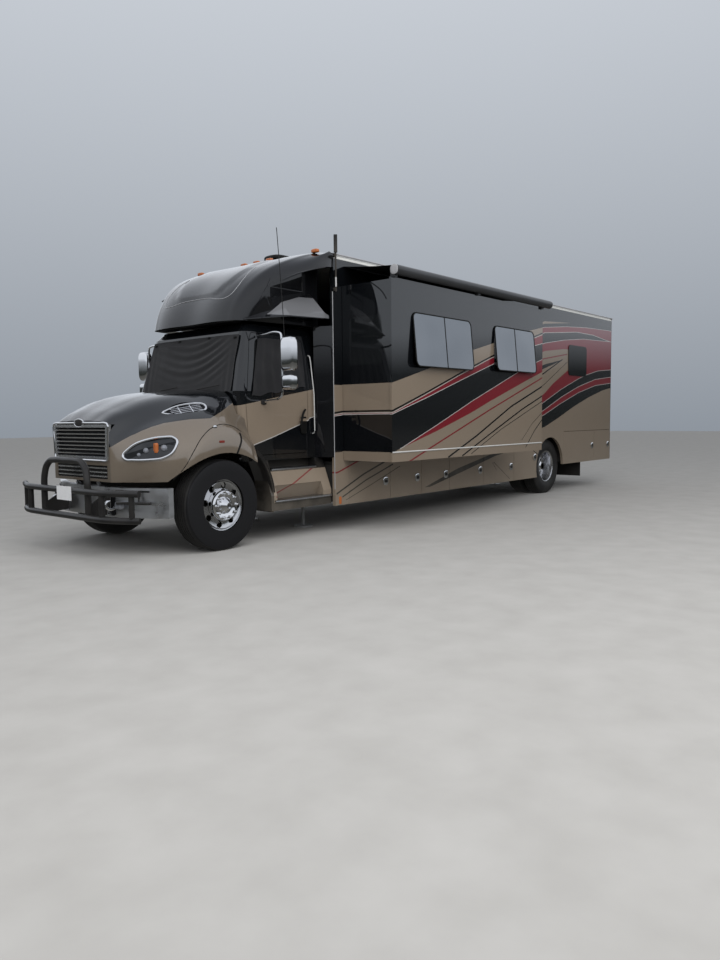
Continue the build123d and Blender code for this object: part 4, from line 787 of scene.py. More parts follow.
for side, word in both_sides:
    body = f"wheel_front_{word}"
    plane = side * (front_wheel_y + front_dish)
    front_disc = wheel_disc(f"rim_{word}", side, 0, side * front_wheel_y, front_dish, body, 8, 0.0370, 0.226)
    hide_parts(f"rim_front_{word}")
    turned(f"hub_ring_{word}", facing_out(hub_ring, plane, side), 0, chrome, body, turns=80, angle=35)
    nuts(f"front_nuts_{word}", side, 0, plane + side * 0.078, 0.140, body, 10, 0.0170, 0.045)
    turned(f"hub_cap_{word}", facing_out(hub_cap, plane, side), 0, chrome, body, turns=64)
    turned(f"hub_eye_{word}", facing_out(hub_eye, plane, side), 0, dark_metal, body, turns=32)
    body = f"wheels_rear_{word}"
    plane = side * (rear_wheel_y + rear_dish)
    outer_y = side * rear_wheel_y
    rear_disc = wheel_disc(f"rear_rim_{word}", side, rear_axle, outer_y, rear_dish, body, 10, 0.0275, 0.206)
    inner_plane = side * (rear_wheel_y - rear_dual)
    turned(f"inner_rim_{word}", facing_out(inner_rim, inner_plane, side), rear_axle, dark_metal, body)
    turned(f"inner_disc_{word}", facing_out(inner_disc, plane, side), rear_axle, dark_metal, body)
    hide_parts(f"rims_rear_{word}")
    nuts(f"rear_nuts_{word}", side, rear_axle, plane, 0.143, body)
    turned(f"rear_hub_{word}", facing_out(rear_hub, plane, side), rear_axle, chrome, body, turns=64)

# Hood fittings: the soft seam round each flare, drawn as a black line that is partly painted shade along
# the flare's raised edge, the split line of the fender's rear quarter, the nose seam, a chromed latch and a
# small side marker on each fender, all let into the moulding.
seam_black = make_material("seam_black", (0.006, 0.006, 0.006), 0.5)
mottle(seam_black, (0.004, 0.004, 0.004), (0.010, 0.010, 0.009), 12.0)
marker_red = make_material("marker_red", (0.16, 0.02, 0.015), 0.2, coat=1.0)
mottle(marker_red, (0.12, 0.015, 0.012), (0.19, 0.03, 0.02), 40.0)
hood_rows = hood_grid(0).reshape(-1, 3)
flank_rows = hood_rows[hood_rows[:, 1] > 0.5]


def tube(name, points, radius, made, body, steps=8, sides=12, closed=False):
    """A round bar along a smooth curve through points: a circle in the plane across the curve at each spot,
    with both ends closed, or one end joined to the other."""
    path = np.asarray(points, dtype=float)
    if closed:
        path = spline(np.concatenate([path[-2:], path, path[:3]]), steps)[2 * steps:-2 * steps - 1]
        path = path[:len(points) * steps]
    elif steps > 1:
        path = spline(path, steps)
    ahead = np.roll(path, -1, axis=0) - np.roll(path, 1, axis=0)
    if not closed:
        ahead[0], ahead[-1] = path[1] - path[0], path[-1] - path[-2]
    ahead /= np.linalg.norm(ahead, axis=1)[:, None]
    aside = np.cross(ahead, (0.13, 0.21, 0.97))
    aside /= np.linalg.norm(aside, axis=1)[:, None]
    above = np.cross(aside, ahead)
    turn = np.linspace(0, 2 * np.pi, sides, endpoint=False)
    ring = np.cos(turn)[:, None] * aside[:, None] + np.sin(turn)[:, None] * above[:, None]
    grid = path[:, None] + radius * ring
    faces = grid_faces(len(path), sides, closed, True).tolist()
    if not closed:
        last = (len(path) - 1) * sides
        faces += [list(range(sides)), [last + spot for spot in range(sides)][::-1]]
    return piece(name, grid.reshape(-1, 3), faces, made, body, 50)


def rounded_block(name, centre, half, made, body, power=0.28, steps=28):
    """A block with soft corners: x, y and z are powers of sines and cosines of two angles, keeping signs."""
    u = np.linspace(0, 2 * np.pi, 2 * steps, endpoint=False)[:, None]
    v = np.linspace(-np.pi / 2, np.pi / 2, steps)[None, :]

    def soft(value):
        """A sine or cosine raised to the power, with its own sign."""
        return np.sign(value) * np.abs(value) ** power

    grid = np.stack([half[0] * soft(np.cos(v)) * soft(np.cos(u)), half[1] * soft(np.cos(v)) * soft(np.sin(u)),
                     half[2] * soft(np.sin(v)) * np.ones_like(u)], axis=-1)
    faces = grid_faces(2 * steps, steps, True, False)
    return piece(name, (grid + centre).reshape(-1, 3), faces, made, body, 60)


def on_side(side, *points):
    """Points given for the left side, put on the side that is asked for."""
    return np.array(points, dtype=float) * (1, side, 1)


def read_off(values, gap):
    """Value at a spot: the mean of the four nearest grid points, each weighed by one over its distance."""
    near = np.argsort(gap)[:4]
    weight = 1 / (gap[near] + 1e-4)
    return float((values[near] * weight).sum() / weight.sum())


def on_hood(x, z, side, out=0.0):
    """Point of the hood's flank at a distance along and a height, moved outwards by a little."""
    reach = read_off(flank_rows[:, 1], np.hypot(flank_rows[:, 0] - x, flank_rows[:, 2] - z))
    return (x, side * (reach + out), z)


split_line = ((-0.233, 1.330), (-0.233, 1.248), (-0.190, 1.165), (-0.150, 1.095))
for side, word in both_sides:
    # The flare seam is a real joint, drawn wide and black so that it also paints the shade at the flare's
    # edge.
    flare = [on_hood(x, z, side, -0.001) for x, z in flare_seam[1:-1]]
    tube(f"flare_seam_{word}", flare, 0.0045, seam_black, "hood", 10)
    split = [on_hood(x, z, side, -0.002) for x, z in split_line]
    tube(f"split_line_{word}", split, 0.012, seam_black, "hood", 8)
    seam = on_side(side, (1.046, 0.585, 0.955), (0.962, 0.712, 0.955), (0.822, 0.912, 0.955),
                   (0.70, 1.020, 0.955))
    tube(f"nose_seam_{word}", seam, 0.0035, seam_black, "hood", 8)
    latch = on_hood(0.096, 1.402, side, 0.001)
    rounded_block(f"hood_latch_{word}", latch, (0.026, 0.012, 0.022), chrome, "hood", 0.8, steps=16)
    marker = on_hood(0.059, 1.240, side, 0.002)
    rounded_block(f"fender_marker_{word}", marker, (0.038, 0.006, 0.014), marker_red, "hood", 0.4, steps=16)

# Headlights: a glossy black bowl bedded in a wide chromed ring that follows the curve of the nose, with three
# round clear projector lenses and an upright amber turn lamp let into it.
lamp_black = make_material("lamp_black", (0.012, 0.013, 0.015), 0.10, coat=0.5, specular=0.2)
mottle(lamp_black, (0.005, 0.006, 0.007), (0.030, 0.032, 0.036), 11.0)
lamp_clear = make_material("lamp_clear", (0.20, 0.21, 0.23), 0.10, 0.3)
mottle(lamp_clear, (0.09, 0.10, 0.12), (0.34, 0.35, 0.38), 60.0)
marker_amber = make_material("marker_amber", (0.38, 0.115, 0.035), 0.25, coat=0.6)
mottle(marker_amber, (0.32, 0.09, 0.028), (0.44, 0.14, 0.042), 40.0)
paint_nodes(lamp_black, "headlights")
lamp_ring = ((0.712, 1.085), (0.704, 1.118), (0.735, 1.168), (0.800, 1.230), (0.905, 1.280), (1.010, 1.302),
             (1.072, 1.298), (1.110, 1.265), (1.124, 1.195), (1.115, 1.132), (1.066, 1.084), (0.955, 1.064),
             (0.800, 1.062), (0.730, 1.068))
nose_rows = hood_rows[(hood_rows[:, 0] > 0.30) & (hood_rows[:, 1] > 0)]


def on_nose(y, z, out):
    """Point of the smooth nose straight before a place across and a height, moved forwards and outwards."""
    x = read_off(nose_rows[:, 0], np.hypot(nose_rows[:, 1] - y, nose_rows[:, 2] - z))
    return np.array((x + 0.68 * out, y + 0.68 * out, z + 0.25 * out))


ring_seen = np.array([on_nose(y, z, 0.004) for y, z in lamp_ring])
bowl_edge = ring_seen * 0.955 + ring_seen.mean(axis=0) * 0.045
bowl_middle = bowl_edge.mean(axis=0)
bowl_rows = []
for share in (1.0, 0.8, 0.6, 0.4, 0.2):
    row = bowl_middle + (bowl_edge - bowl_middle) * share
    bowl_rows.append([on_nose(y, z, -0.012 * (1 - 0.3 * share)) for x, y, z in row])
bowl_points = np.array(bowl_rows).reshape(-1, 3)
count = len(lamp_ring)
bowl_faces = grid_faces(5, count, False, True).tolist() + [list(range(4 * count, 5 * count))]
for side, word in both_sides:
    tube(f"lamp_ring_{word}", on_side(side, *ring_seen), 0.015, chrome, "hood", 8, 12, closed=True)
    piece(f"lamp_bowl_{word}", on_side(side, *bowl_points), bowl_faces, lamp_black, "hood", 80)
    spot = on_nose(0.990, 1.190, -0.006) * (1, side, 1)
    rounded_block(f"turn_lamp_{word}", spot, (0.020, 0.024, 0.054), marker_amber, "hood", 0.35, steps=16)
    for number, (y, z, size) in enumerate(((1.050, 1.190, 0.036), (0.915, 1.165, 0.030),
                                           (0.855, 1.120, 0.022))):
        spot = on_nose(y, z, -0.012) * (1, side, 1)
        rounded_block(f"projector_{word}_{number}", spot, (size, size, size), lamp_clear, "hood", 1.0,
                      steps=20)

# Grille: chromed bars before a black screen, in a chromed surround with a bare oval boss, and a chromed
# slotted intake below, whose back plate is black. The oval side vents have a chromed rim and the same black
# screen.
screen_black = grain(make_material("screen_black", (0.006, 0.006, 0.007), 0.6), 300.0, 0.5)
screen = front_block([(-0.540, 1.066), (0.540, 1.066), (0.560, 1.440), (-0.560, 1.440)], 1.000, 1.006)
piece("grille_screen", *screen, screen_black, "hood")
surround = [(1.056, y, z) for y, z in ((0.558, 1.085), (0.548, 1.062), (0.524, 1.053), (0.44, 1.052),
                                       (0.15, 1.052), (-0.15, 1.052), (-0.44, 1.052), (-0.524, 1.053),
                                       (-0.548, 1.062), (-0.558, 1.085), (-0.562, 1.150), (-0.570, 1.300),
                                       (-0.577, 1.400), (-0.576, 1.432), (-0.560, 1.452), (-0.530, 1.459),
                                       (-0.42, 1.461), (-0.15, 1.463), (0.15, 1.463), (0.42, 1.461),
                                       (0.530, 1.459), (0.560, 1.452), (0.576, 1.432), (0.577, 1.400),
                                       (0.570, 1.300), (0.562, 1.150))]
tube("grille_surround", surround, 0.012, chrome, "hood", 4, 12, closed=True)
rounded_block("grille_boss", (1.060, 0, 1.462), (0.010, 0.098, 0.043), dark_metal, "hood", 0.9)
turn = np.arange(16) * math.pi / 8
boss_rim = np.column_stack([np.full(16, 1.062), 0.098 * np.cos(turn), 1.462 + 0.043 * np.sin(turn)])
tube("grille_boss_rim", boss_rim, 0.007, chrome, "hood", 4, 10, closed=True)
for side, word in both_sides:
    middle, across, facing = vent_place(side)
    upward = np.cross(facing, across)
    middle = middle + 0.006 * facing
    ring = leaf(0.004, 6)
    rim = middle + ring[:, :1] * across + ring[:, 1:] * upward
    tube(f"vent_rim_{word}", rim, 0.011, chrome, "hood", 2, 10, closed=True)
    screen = prism(leaf(0.012), middle - 0.016 * facing, across, upward, 0, 0.003)
    piece(f"vent_screen_{word}", *screen, screen_black, "hood")
grille_colour = (0.88, 0.88, 0.89)
grille_chrome = make_material("grille_chrome", grille_colour, 0.26, 1.0)
grille_tree = grille_chrome.node_tree
spot = shaded_spot(grille_tree)
plate_part = where_all(grille_tree, math_node(grille_tree, "LESS_THAN", spot[2], 1.02),
                       math_node(grille_tree, "LESS_THAN", spot[0], axle_x + 1.0405))
feed(grille_chrome, "Base Color", two_tone(grille_tree, plate_part, grille_colour, (0.012, 0.012, 0.012)))
feed(grille_chrome, "Metallic", math_node(grille_tree, "SUBTRACT", 1.0, plate_part))
paint_nodes(grille_chrome, "grille")

# Guard: heavy steel tube bent round the front and painted satin black, with a blank white plate hung on it.
# It turns down on pins in the bumper, so that the hood can tilt over it.
guard_black = grain(make_material("guard_black", (0.012, 0.012, 0.013), 0.36, coat=0.3), 180.0, 0.2)
mottle(guard_black, (0.008, 0.008, 0.009), (0.030, 0.028, 0.026), 7.0)


def carried_over(half):
    """A bend given from its left end to the middle, carried on in mirror image to its right end."""
    return half + [(x, -y, z) for x, y, z in half[-2::-1]]


for word, height, end_x, end_y in (("high", 0.735, 1.115, 1.205), ("low", 0.455, 1.095, 1.180)):
    bend = [(end_x, end_y, height), (1.190, 1.030, height), (1.252, 0.880, height), (1.280, 0.760, height),
            (1.287, 0.600, height), (1.287, 0.0, height)]
    tube(f"guard_rail_{word}", carried_over(bend), 0.035, guard_black, "guard", 6, 20)
hoop = [(1.256, 0.466, 0.455), (1.256, 0.466, 0.700), (1.254, 0.458, 0.860), (1.246, 0.415, 0.980),
        (1.242, 0.330, 1.044), (1.241, 0.220, 1.056), (1.241, 0.0, 1.056)]
guard_hoop = tube("guard_hoop", carried_over(hoop), 0.036, guard_black, "guard", 6, 20)
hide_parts("guard")
guard_arm = [(0.982, 0.462), (1.27, 0.440), (1.27, 0.560), (1.03, 0.700), (0.982, 0.700)]
for side, word in both_sides:
    post = on_side(side, (1.272, 0.760, 0.46), (1.272, 0.760, 0.60), (1.272, 0.760, 0.73))
    tube(f"guard_post_{word}", post, 0.032, guard_black, "guard", 2, 20)
    post = on_side(side, (1.146, 1.112, 0.46), (1.146, 1.112, 0.60), (1.146, 1.112, 0.73))
    tube(f"guard_end_post_{word}", post, 0.030, guard_black, "guard", 2, 20)
    arm = side_block(guard_arm, -0.006, 0.006, (0, side * 0.442, 0))
    piece(f"guard_plate_{word}", *arm, guard_black, "guard")
plate_white = make_material("plate_white", (0.74, 0.75, 0.76), 0.3, coat=0.5)
mottle(plate_white, (0.68, 0.69, 0.70), (0.80, 0.80, 0.81), 20.0)
plate = front_block([(-0.055, 0.628), (0.250, 0.628), (0.250, 0.782), (-0.055, 0.782)], 0, 0.003,
                    (1.3245, 0, 0))
piece("front_plate", *plate, plate_white, "guard")

# Bumper: a chromed steel pressing across the front, with a black screen in its middle, a dark slot along each
# end, chromed tow hooks, small clear fog lamps and a black bar for further lamps on struts.
bright_bumper = make_material("bright_bumper", (0.80, 0.80, 0.81), 0.32, 1.0)
mottle(bright_bumper, 0.26, 0.42, 9.0, 5.0, "Roughness")
paint_nodes(bright_bumper, "bumper")
insert = [(-0.50, 0.447), (0.50, 0.447), (0.52, 0.465), (0.52, 0.680), (0.50, 0.700), (-0.50, 0.700),
          (-0.52, 0.680), (-0.52, 0.465)]
piece("bumper_insert", *front_block(insert, -0.008, 0.003, (0.971, 0, 0)), screen_black, "root")
for side, word in both_sides:
    hook = on_side(side, (1.00, 0.56, 0.54), (1.06, 0.56, 0.53), (1.10, 0.56, 0.56), (1.10, 0.56, 0.60),
                   (1.06, 0.56, 0.62))
    tube(f"tow_hook_{word}", hook, 0.016, chrome, "root", 6, 14)
    lamp = (0.985, side * 0.63, 0.57)
    rounded_block(f"fog_lamp_{word}", lamp, (0.035, 0.060, 0.042), lamp_clear, "root", 0.6, steps=18)
    slot = on_side(side, (0.975, 0.55, 0.722), (0.905, 0.760, 0.722), (0.812, 0.938, 0.722))
    tube(f"bumper_slot_{word}", slot, 0.010, seam_black, "root", 1, 10)
    strut = on_side(side, (0.888, 0.860, 0.715), (0.895, 0.866, 0.660), (0.905, 0.880, 0.600))
    tube(f"lamp_strut_{word}", strut, 0.012, guard_black, "root", 1, 10)
    bar = on_side(side, (1.030, 0.650, 0.600), (0.945, 0.800, 0.600), (0.840, 1.000, 0.600))
    tube(f"lamp_bar_{word}", bar, 0.016, guard_black, "root", 1, 12)

# Nose cap: a moulded fibreglass bubble over the cab in gloss black, with a raised panel on its face.
# A silver line along the panel's lower edge is a painted highlight, the brow at each side under the
# arches is painted grey as a painted reflection of the sky in the black, and a black strip under the
# front lip is painted shade. The skin lies just over the solid cap, through level outlines from the lip
# up, each given as (height, front, half width of the nose, half width of the shoulder), and is cut at the
# side arches.
cap_levels = ((2.668, -0.505, 0.815, 0.935), (2.970, -0.622, 0.850, 1.080), (3.290, -0.925, 0.960, 1.235),
              (3.490, -1.330, 1.080, 1.262), (3.575, -1.600, 1.120, 1.240), (3.603, -1.720, 1.060, 1.180),
              (3.609, -1.786, 1.000, 1.150))
cap_rear = -1.790
cap_rows = []
for z, front, nose, shoulder in cap_levels:
    cap_rows.append(carried_over([(cap_rear, 1.270 if z < 3.6 else 1.20, z),
                                  (front - 0.55 * (front - cap_rear), min(shoulder + 0.06, 1.270), z),
                                  (front - 0.095, nose + 0.045, z), (front - 0.030, nose - 0.025, z),
                                  (front, nose - 0.130, z), (front + 0.014, 0, z)]))
cap_grid = spline(np.array(cap_rows), 12)
cap_grid = spline(cap_grid.transpose(1, 0, 2), 14).transpose(1, 0, 2)
cap_normal = np.cross(np.gradient(cap_grid, axis=0), np.gradient(cap_grid, axis=1))
cap_normal /= np.linalg.norm(cap_normal, axis=-1)[..., None] + 1e-9
if cap_normal[len(cap_normal) // 3, cap_normal.shape[1] // 2, 0] < 0:
    cap_normal = -cap_normal
panel_half = np.interp(cap_grid[..., 2], (2.99, 3.01, 3.07, 3.21, 3.30, 3.50, 3.62),
                       (0.20, 0.34, 0.46, 0.54, 0.59, 0.59, 0.57))
inside = np.clip((panel_half - np.abs(cap_grid[..., 1])) / 0.03, 0, 1)
inside *= np.clip((cap_grid[..., 2] - 3.0) / 0.03, 0, 1)
inside *= np.clip((3.58 - cap_grid[..., 2]) / 0.1, 0, 1)
raised = 0.016 * inside * inside * (3 - 2 * inside)
cap_outer = cap_grid + cap_normal * (0.006 + raised[..., None])
cap_skin = piece("cap_skin", *shell(cap_outer, cap_grid + cap_normal * 0.001), None, "root", 50)
cap_black = make_material("cap_black", black_colour, 0.25, coat=1.0, coat_roughness=0.015, specular=0.10)
mottle(cap_black, (0.003, 0.0035, 0.0045), (0.007, 0.007, 0.008), 2.0)
cap_tree = cap_black.node_tree
cap_tone = cap_tree.nodes["Principled BSDF"].inputs["Base Color"].links[0].from_socket
spot = shaded_spot(cap_tree)
off_middle = math_node(cap_tree, "ABSOLUTE", math_node(cap_tree, "SUBTRACT", spot[1], middle_y))
# Painted reflection: the brow at each side under the arches turns from black to grey, as gloss black
# mirroring the sky.
brow_sky_reflection = where_all(cap_tree, math_node(cap_tree, "GREATER_THAN", off_middle, 1.004),
                 math_node(cap_tree, "LESS_THAN", spot[2], 3.02),
                 math_node(cap_tree, "GREATER_THAN", spot[2], 2.752),
                 math_node(cap_tree, "LESS_THAN", spot[0], axle_x - 0.82))
feed(cap_black, "Base Color", two_tone(cap_tree, brow_sky_reflection, cap_tone, (0.13, 0.132, 0.14)))
cap_skin.data.materials.append(cap_black)
arch_side = [(-1.95, 2.60), (-0.560, 2.60), (-0.640, 2.760), (-0.711, 2.881), (-0.801, 2.981),
             (-0.956, 3.145), (-1.130, 3.230), (-1.316, 3.294), (-1.649, 3.385), (-1.95, 3.43)]
cut(cap_skin, side_block(arch_side, -1.4, -1.0), side_block(arch_side, 1.0, 1.4))
paint_nodes(cap_black, "nose_cap")
arch_line = ((-0.956, 1.210, 3.145), (-1.130, 1.262, 3.230), (-1.316, 1.274, 3.294), (-1.640, 1.274, 3.382))
for side, word in both_sides:
    edge_line = [(x - 0.004, side * (y + 0.004), z) for x, y, z in arch_line]
    tube(f"arch_edge_{word}", edge_line, 0.008, cap_black, "root", 8, 10)
for number, centre in enumerate(((-1.600, 1.150, 3.596), (-1.600, -1.150, 3.596), (-1.650, 0, 3.612),
                                 (-1.650, 0.256, 3.612), (-1.650, -0.256, 3.612))):
    rounded_block(f"roof_lamp_{number}", centre, (0.030, 0.056, 0.024), marker_amber, "root", 0.5, steps=18)
# Painted shade: a black strip under the cap's front lip, where the overhang is in shade.
rounded_block("cap_lip_shade", (-0.60, 0, 2.664), (0.10, 0.80, 0.012), seam_black, "root", 0.3, steps=20)
# Painted highlight: a silver tube along the lower edge of the raised panel, where its crease catches the sky.
crease_highlight_silver = make_material("crease_highlight_silver", (0.42, 0.42, 0.43), 0.3, 0.6)
mottle(crease_highlight_silver, (0.36, 0.36, 0.37), (0.50, 0.50, 0.51), 8.0)
highlight_half_line = ((0.0, 3.000), (0.30, 2.985), (0.48, 2.955), (0.60, 2.958), (0.665, 2.995), (0.70, 3.07),
             (0.712, 3.18), (0.70, 3.29), (0.672, 3.38))
highlight_points = []
for y, z in [(-y, z) for y, z in highlight_half_line[:0:-1]] + list(highlight_half_line):
    spot, facing = cap_skin.ray_cast(place(1.0, y, z), Vector((-1, 0, 0)))[1:3]
    highlight_points.append(spot - place(0, 0, 0) + facing * 0.001)
tube("cap_crease_highlight", highlight_points, 0.0045, crease_highlight_silver, "root", 8, 8)

# Windshield cover: black mesh cloth laid over the glass and tied along its top, its slack hanging in nested
# curved folds, with the two wipers resting on its foot. At a place y across and a height h the cloth lies off
# the glass by half its fold depth times one plus the cosine of k times (h less a times y to the power 1.9).
mesh_black = make_material("mesh_black", (0.010, 0.010, 0.011), 0.85, specular=0.3)
mesh_tree = mesh_black.node_tree
weave_point = object_point(mesh_tree)
weave_y = add_node(mesh_tree, "ShaderNodeTexWave", weave_point, 420.0, bands_direction="Y")
weave_z = add_node(mesh_tree, "ShaderNodeTexWave", weave_point, 420.0, bands_direction="Z")
weave = math_node(mesh_tree, "MULTIPLY", weave_y.outputs[1], weave_z.outputs[1])
raise_bumps(mesh_black, weave, 0.35, 0.0006)
mottle(mesh_black, (0.009, 0.009, 0.010), (0.021, 0.021, 0.023), 3.0)
mesh_tree.nodes["Principled BSDF"].inputs["Sheen Weight"].default_value = 0.12


def glass_x(z):
    """Where the leaning windshield stands, from the front axle, at a height."""
    return -0.3845 - 0.2875 * (z - 1.82)


v, u = np.meshgrid(np.linspace(0, 1, 91), np.linspace(-1, 1, 181), indexing="ij")
sag = 0.012 * (1 - np.abs(u) ** 6)
cover_z = 1.818 + v * 0.684 + sag * (v - 0.5)
cover_y = u * (0.905 - 0.050 * v) * (1 + 0.006 * np.sin(v * 9.0))
hang = cover_z - 0.42 * (np.abs(cover_y + 0.08) ** 1.9) - 1.86
middle_part = np.clip((0.80 - np.abs(cover_y + 0.02)) / 0.30, 0, 1) * np.clip((v - 0.10) / 0.35, 0, 1)
middle_part *= np.clip((1.0 - v) / 0.12, 0.25, 1)
depth = 0.0125 * middle_part * (0.5 + 0.5 * np.cos(hang * 2 * np.pi / 0.105 + 0.6 * np.sin(cover_y * 5.0)))
depth += 0.006 * middle_part * (0.5 + 0.5 * np.sin(hang * 2 * np.pi / 0.23 + 1.3))
side_part = np.clip((np.abs(u) - 0.72) / 0.2, 0, 1) * (1 - v)
side_fold = 0.008 * side_part * (0.5 + 0.5 * np.cos(cover_y * 60.0 + v * 5.0))
off = 0.004 + depth + side_fold
cover_x = glass_x(cover_z) + 0.009 + off * 0.961
cover_grid = np.stack([cover_x, cover_y, cover_z + off * 0.276], axis=-1)
cloth = piece("screen_cloth", cover_grid.reshape(-1, 3), grid_faces(*u.shape), mesh_black, "root", 180,
              tidy=False)
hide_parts("windshield_cover")
for number, (y, z) in enumerate(((0.80, 2.470), (0.30, 2.495), (-0.30, 2.495), (-0.80, 2.470))):
    tie = (glass_x(z) + 0.022, y, z)
    rounded_block(f"cover_tie_{number}", tie, (0.008, 0.026, 0.014), seam_black, "root", 0.6, steps=12)
for number, (y0, y1) in enumerate(((0.10, 0.72), (-0.72, -0.10))):
    points = [(-0.350, y0, 1.835), (-0.356, (y0 + y1) / 2, 1.868), (-0.352, y1, 1.895)]
    tube(f"wiper_{number}", points, 0.006, dark_metal, "root", 8, 8)

# Mirrors: chromed shells on a chromed tubular bracket, the large one above a small wide-angle one, with a
# black whip aerial standing on the left bracket. They move with the doors.
aerial_black = make_material("aerial_black", (0.01, 0.01, 0.01), 0.4)
mottle(aerial_black, (0.008, 0.008, 0.008), (0.02, 0.02, 0.02), 30.0)
for side, word in both_sides:
    body = f"cab_door_{word}"
    large = (-0.810, side * 1.450, 2.245)
    head = rounded_block(f"mirror_head_{word}", large, (0.060, 0.108, 0.200), chrome, body, 0.42)
    small = (-0.810, side * 1.450, 1.915)
    rounded_block(f"mirror_wide_{word}", small, (0.056, 0.102, 0.088), chrome, body, 0.42)
    bracket = on_side(side, (-0.790, 1.018, 1.690), (-0.793, 1.120, 1.705), (-0.797, 1.270, 1.725),
                      (-0.800, 1.328, 1.760), (-0.800, 1.338, 1.850), (-0.800, 1.340, 2.100),
                      (-0.800, 1.340, 2.400), (-0.798, 1.325, 2.490), (-0.793, 1.250, 2.512),
                      (-0.785, 1.080, 2.500), (-0.780, 0.946, 2.490))
    tube(f"mirror_bracket_{word}", bracket, 0.014, chrome, body, 6, 12)
    for number, z in enumerate((1.900, 2.150, 2.350)):
        arm = on_side(side, (-0.800, 1.330, z), (-0.802, 1.352, z), (-0.804, 1.38, z))
        tube(f"mirror_arm_{word}_{number}", arm, 0.011, dark_metal, body, 2, 10)
    foot = (-0.790, side * 1.022, 1.690)
    rounded_block(f"mirror_foot_{word}", foot, (0.040, 0.012, 0.030), dark_metal, body, 0.5, steps=14)
    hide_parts(f"mirror_{word}")
whip = [(-0.790, 1.400, 2.440), (-0.775, 1.400, 2.700), (-0.735, 1.402, 3.200), (-0.690, 1.405, 3.680)]
tube("whip_aerial", whip, 0.0045, aerial_black, "cab_door_left", 8, 8)

# Cab door fittings: the same black mesh hung over each window with slack upright folds, a black pull handle
# and lock plate on the door, and behind it a pale grab bar screwed to the front of the living box.
trim_pale = make_material("trim_pale", (0.48, 0.48, 0.47), 0.4)
mottle(trim_pale, (0.42, 0.42, 0.41), (0.54, 0.54, 0.53), 5.0)
v, u = np.meshgrid(np.linspace(0, 1, 50), np.linspace(0, 1, 90), indexing="ij")
low_edge = 1.755 + 0.135 * u + 0.012 * np.cos(u * 21.0)
top_edge = 2.474 - 0.02 * np.abs(2 * u - 1) ** 6
door_z = low_edge + (top_edge - low_edge) * v
front_edge = -0.590 - 0.200 * np.clip((door_z - 1.76) / 0.70, 0, 1)
door_x = front_edge + (-1.520 - front_edge) * u
ripple = 0.5 + 0.5 * np.cos(u * 34.0 + 1.5 * np.sin(v * 3.0) + v * 2.0)
slack = 0.010 * ripple * np.clip(4 * v * (1 - v) + 0.2, 0, 1)
slack += 0.006 * (0.5 + 0.5 * np.sin(v * 16.0 + u * 9.0))
door_y = 1.015 - 0.143 * np.clip(door_z - 1.82, 0, 1) + 0.008 + slack
door_grid = np.stack([door_x, door_y, door_z], axis=-1).reshape(-1, 3)
for side, word in both_sides:
    body = f"cab_door_{word}"
    hung = piece(f"door_cloth_{word}", door_grid * (1, side, 1), grid_faces(*u.shape), mesh_black, body, 180,
                 tidy=False)
    pull = on_side(side, (-1.395, 1.047, 1.360), (-1.388, 1.062, 1.400), (-1.400, 1.064, 1.480),
                   (-1.440, 1.062, 1.570), (-1.480, 1.047, 1.598))
    tube(f"door_pull_{word}", pull, 0.014, seam_black, body, 8, 12)
    lock = (-1.470, side * 1.026, 1.400)
    rounded_block(f"door_lock_{word}", lock, (0.055, 0.008, 0.110), seam_black, body, 0.4, steps=16)
    grab = on_side(side, (-1.640, 1.016, 1.29), (-1.640, 1.046, 1.30), (-1.640, 1.056, 1.33),
                   (-1.640, 1.052, 1.80), (-1.640, 1.000, 2.20), (-1.640, 0.984, 2.28), (-1.640, 0.955, 2.30))
    tube(f"grab_bar_{word}", grab, 0.007, trim_pale, "root", 1, 12)

# Edge trims of the living box: two upright pale grey extrusions at each front corner and one along each
# edge of the roof, screwed over the joints of the panels.
trim_grey = make_material("trim_grey", (0.30, 0.30, 0.31), 0.35, coat=0.4)
mottle(trim_grey, (0.24, 0.24, 0.25), (0.36, 0.36, 0.37), 6.0)
for side, word in both_sides:
    for number, (x, y, low, high) in enumerate(((-1.793, 1.262, 0.56, 3.10), (-1.752, 1.052, 1.02, 2.64))):
        upright = on_side(side, (x, y, low), (x, y, (low + high) / 2), (x, y, high))
        tube(f"corner_trim_{word}_{number}", upright, 0.008, trim_grey, "root", 1, 8)
    roof_edge = on_side(side, (-1.80, 1.266, 3.578), (-6.0, 1.266, 3.578), (-10.86, 1.266, 3.578))
    tube(f"roof_trim_{word}", roof_edge, 0.011, trim_grey, "root", 1, 10)

# Quarter fenders: a black band behind each front wheel, moulded in plastic with its edges turned over and
# bolted to the chassis, where it stays when the hood tilts.
band_black = make_material("band_black", (0.011, 0.011, 0.012), 0.3, coat=0.6)
mottle(band_black, (0.009, 0.009, 0.010), (0.020, 0.018, 0.016), 4.0)
profile = np.array(((0.752, 0.905), (0.752, 1.176), (0.760, 1.186), (0.800, 1.186), (0.806, 1.178),
                    (0.800, 1.168), (0.772, 1.160), (0.768, 0.905)))
steps, count = 40, len(profile)
turn = np.radians(np.linspace(131, 190, steps))[:, None]
band = np.stack([profile[:, 0] * np.cos(turn), np.broadcast_to(profile[:, 1], (steps, count)),
                 wheel_height + profile[:, 0] * np.sin(turn)], axis=-1).reshape(-1, 3)
band_faces = grid_faces(steps, count, False, True).tolist()
band_faces += [list(range(count)), list(range(steps * count))[:-count - 1:-1]]
for side, word in both_sides:
    piece(f"quarter_fender_{word}", band * (1, side, 1), band_faces, band_black, "root", 40)

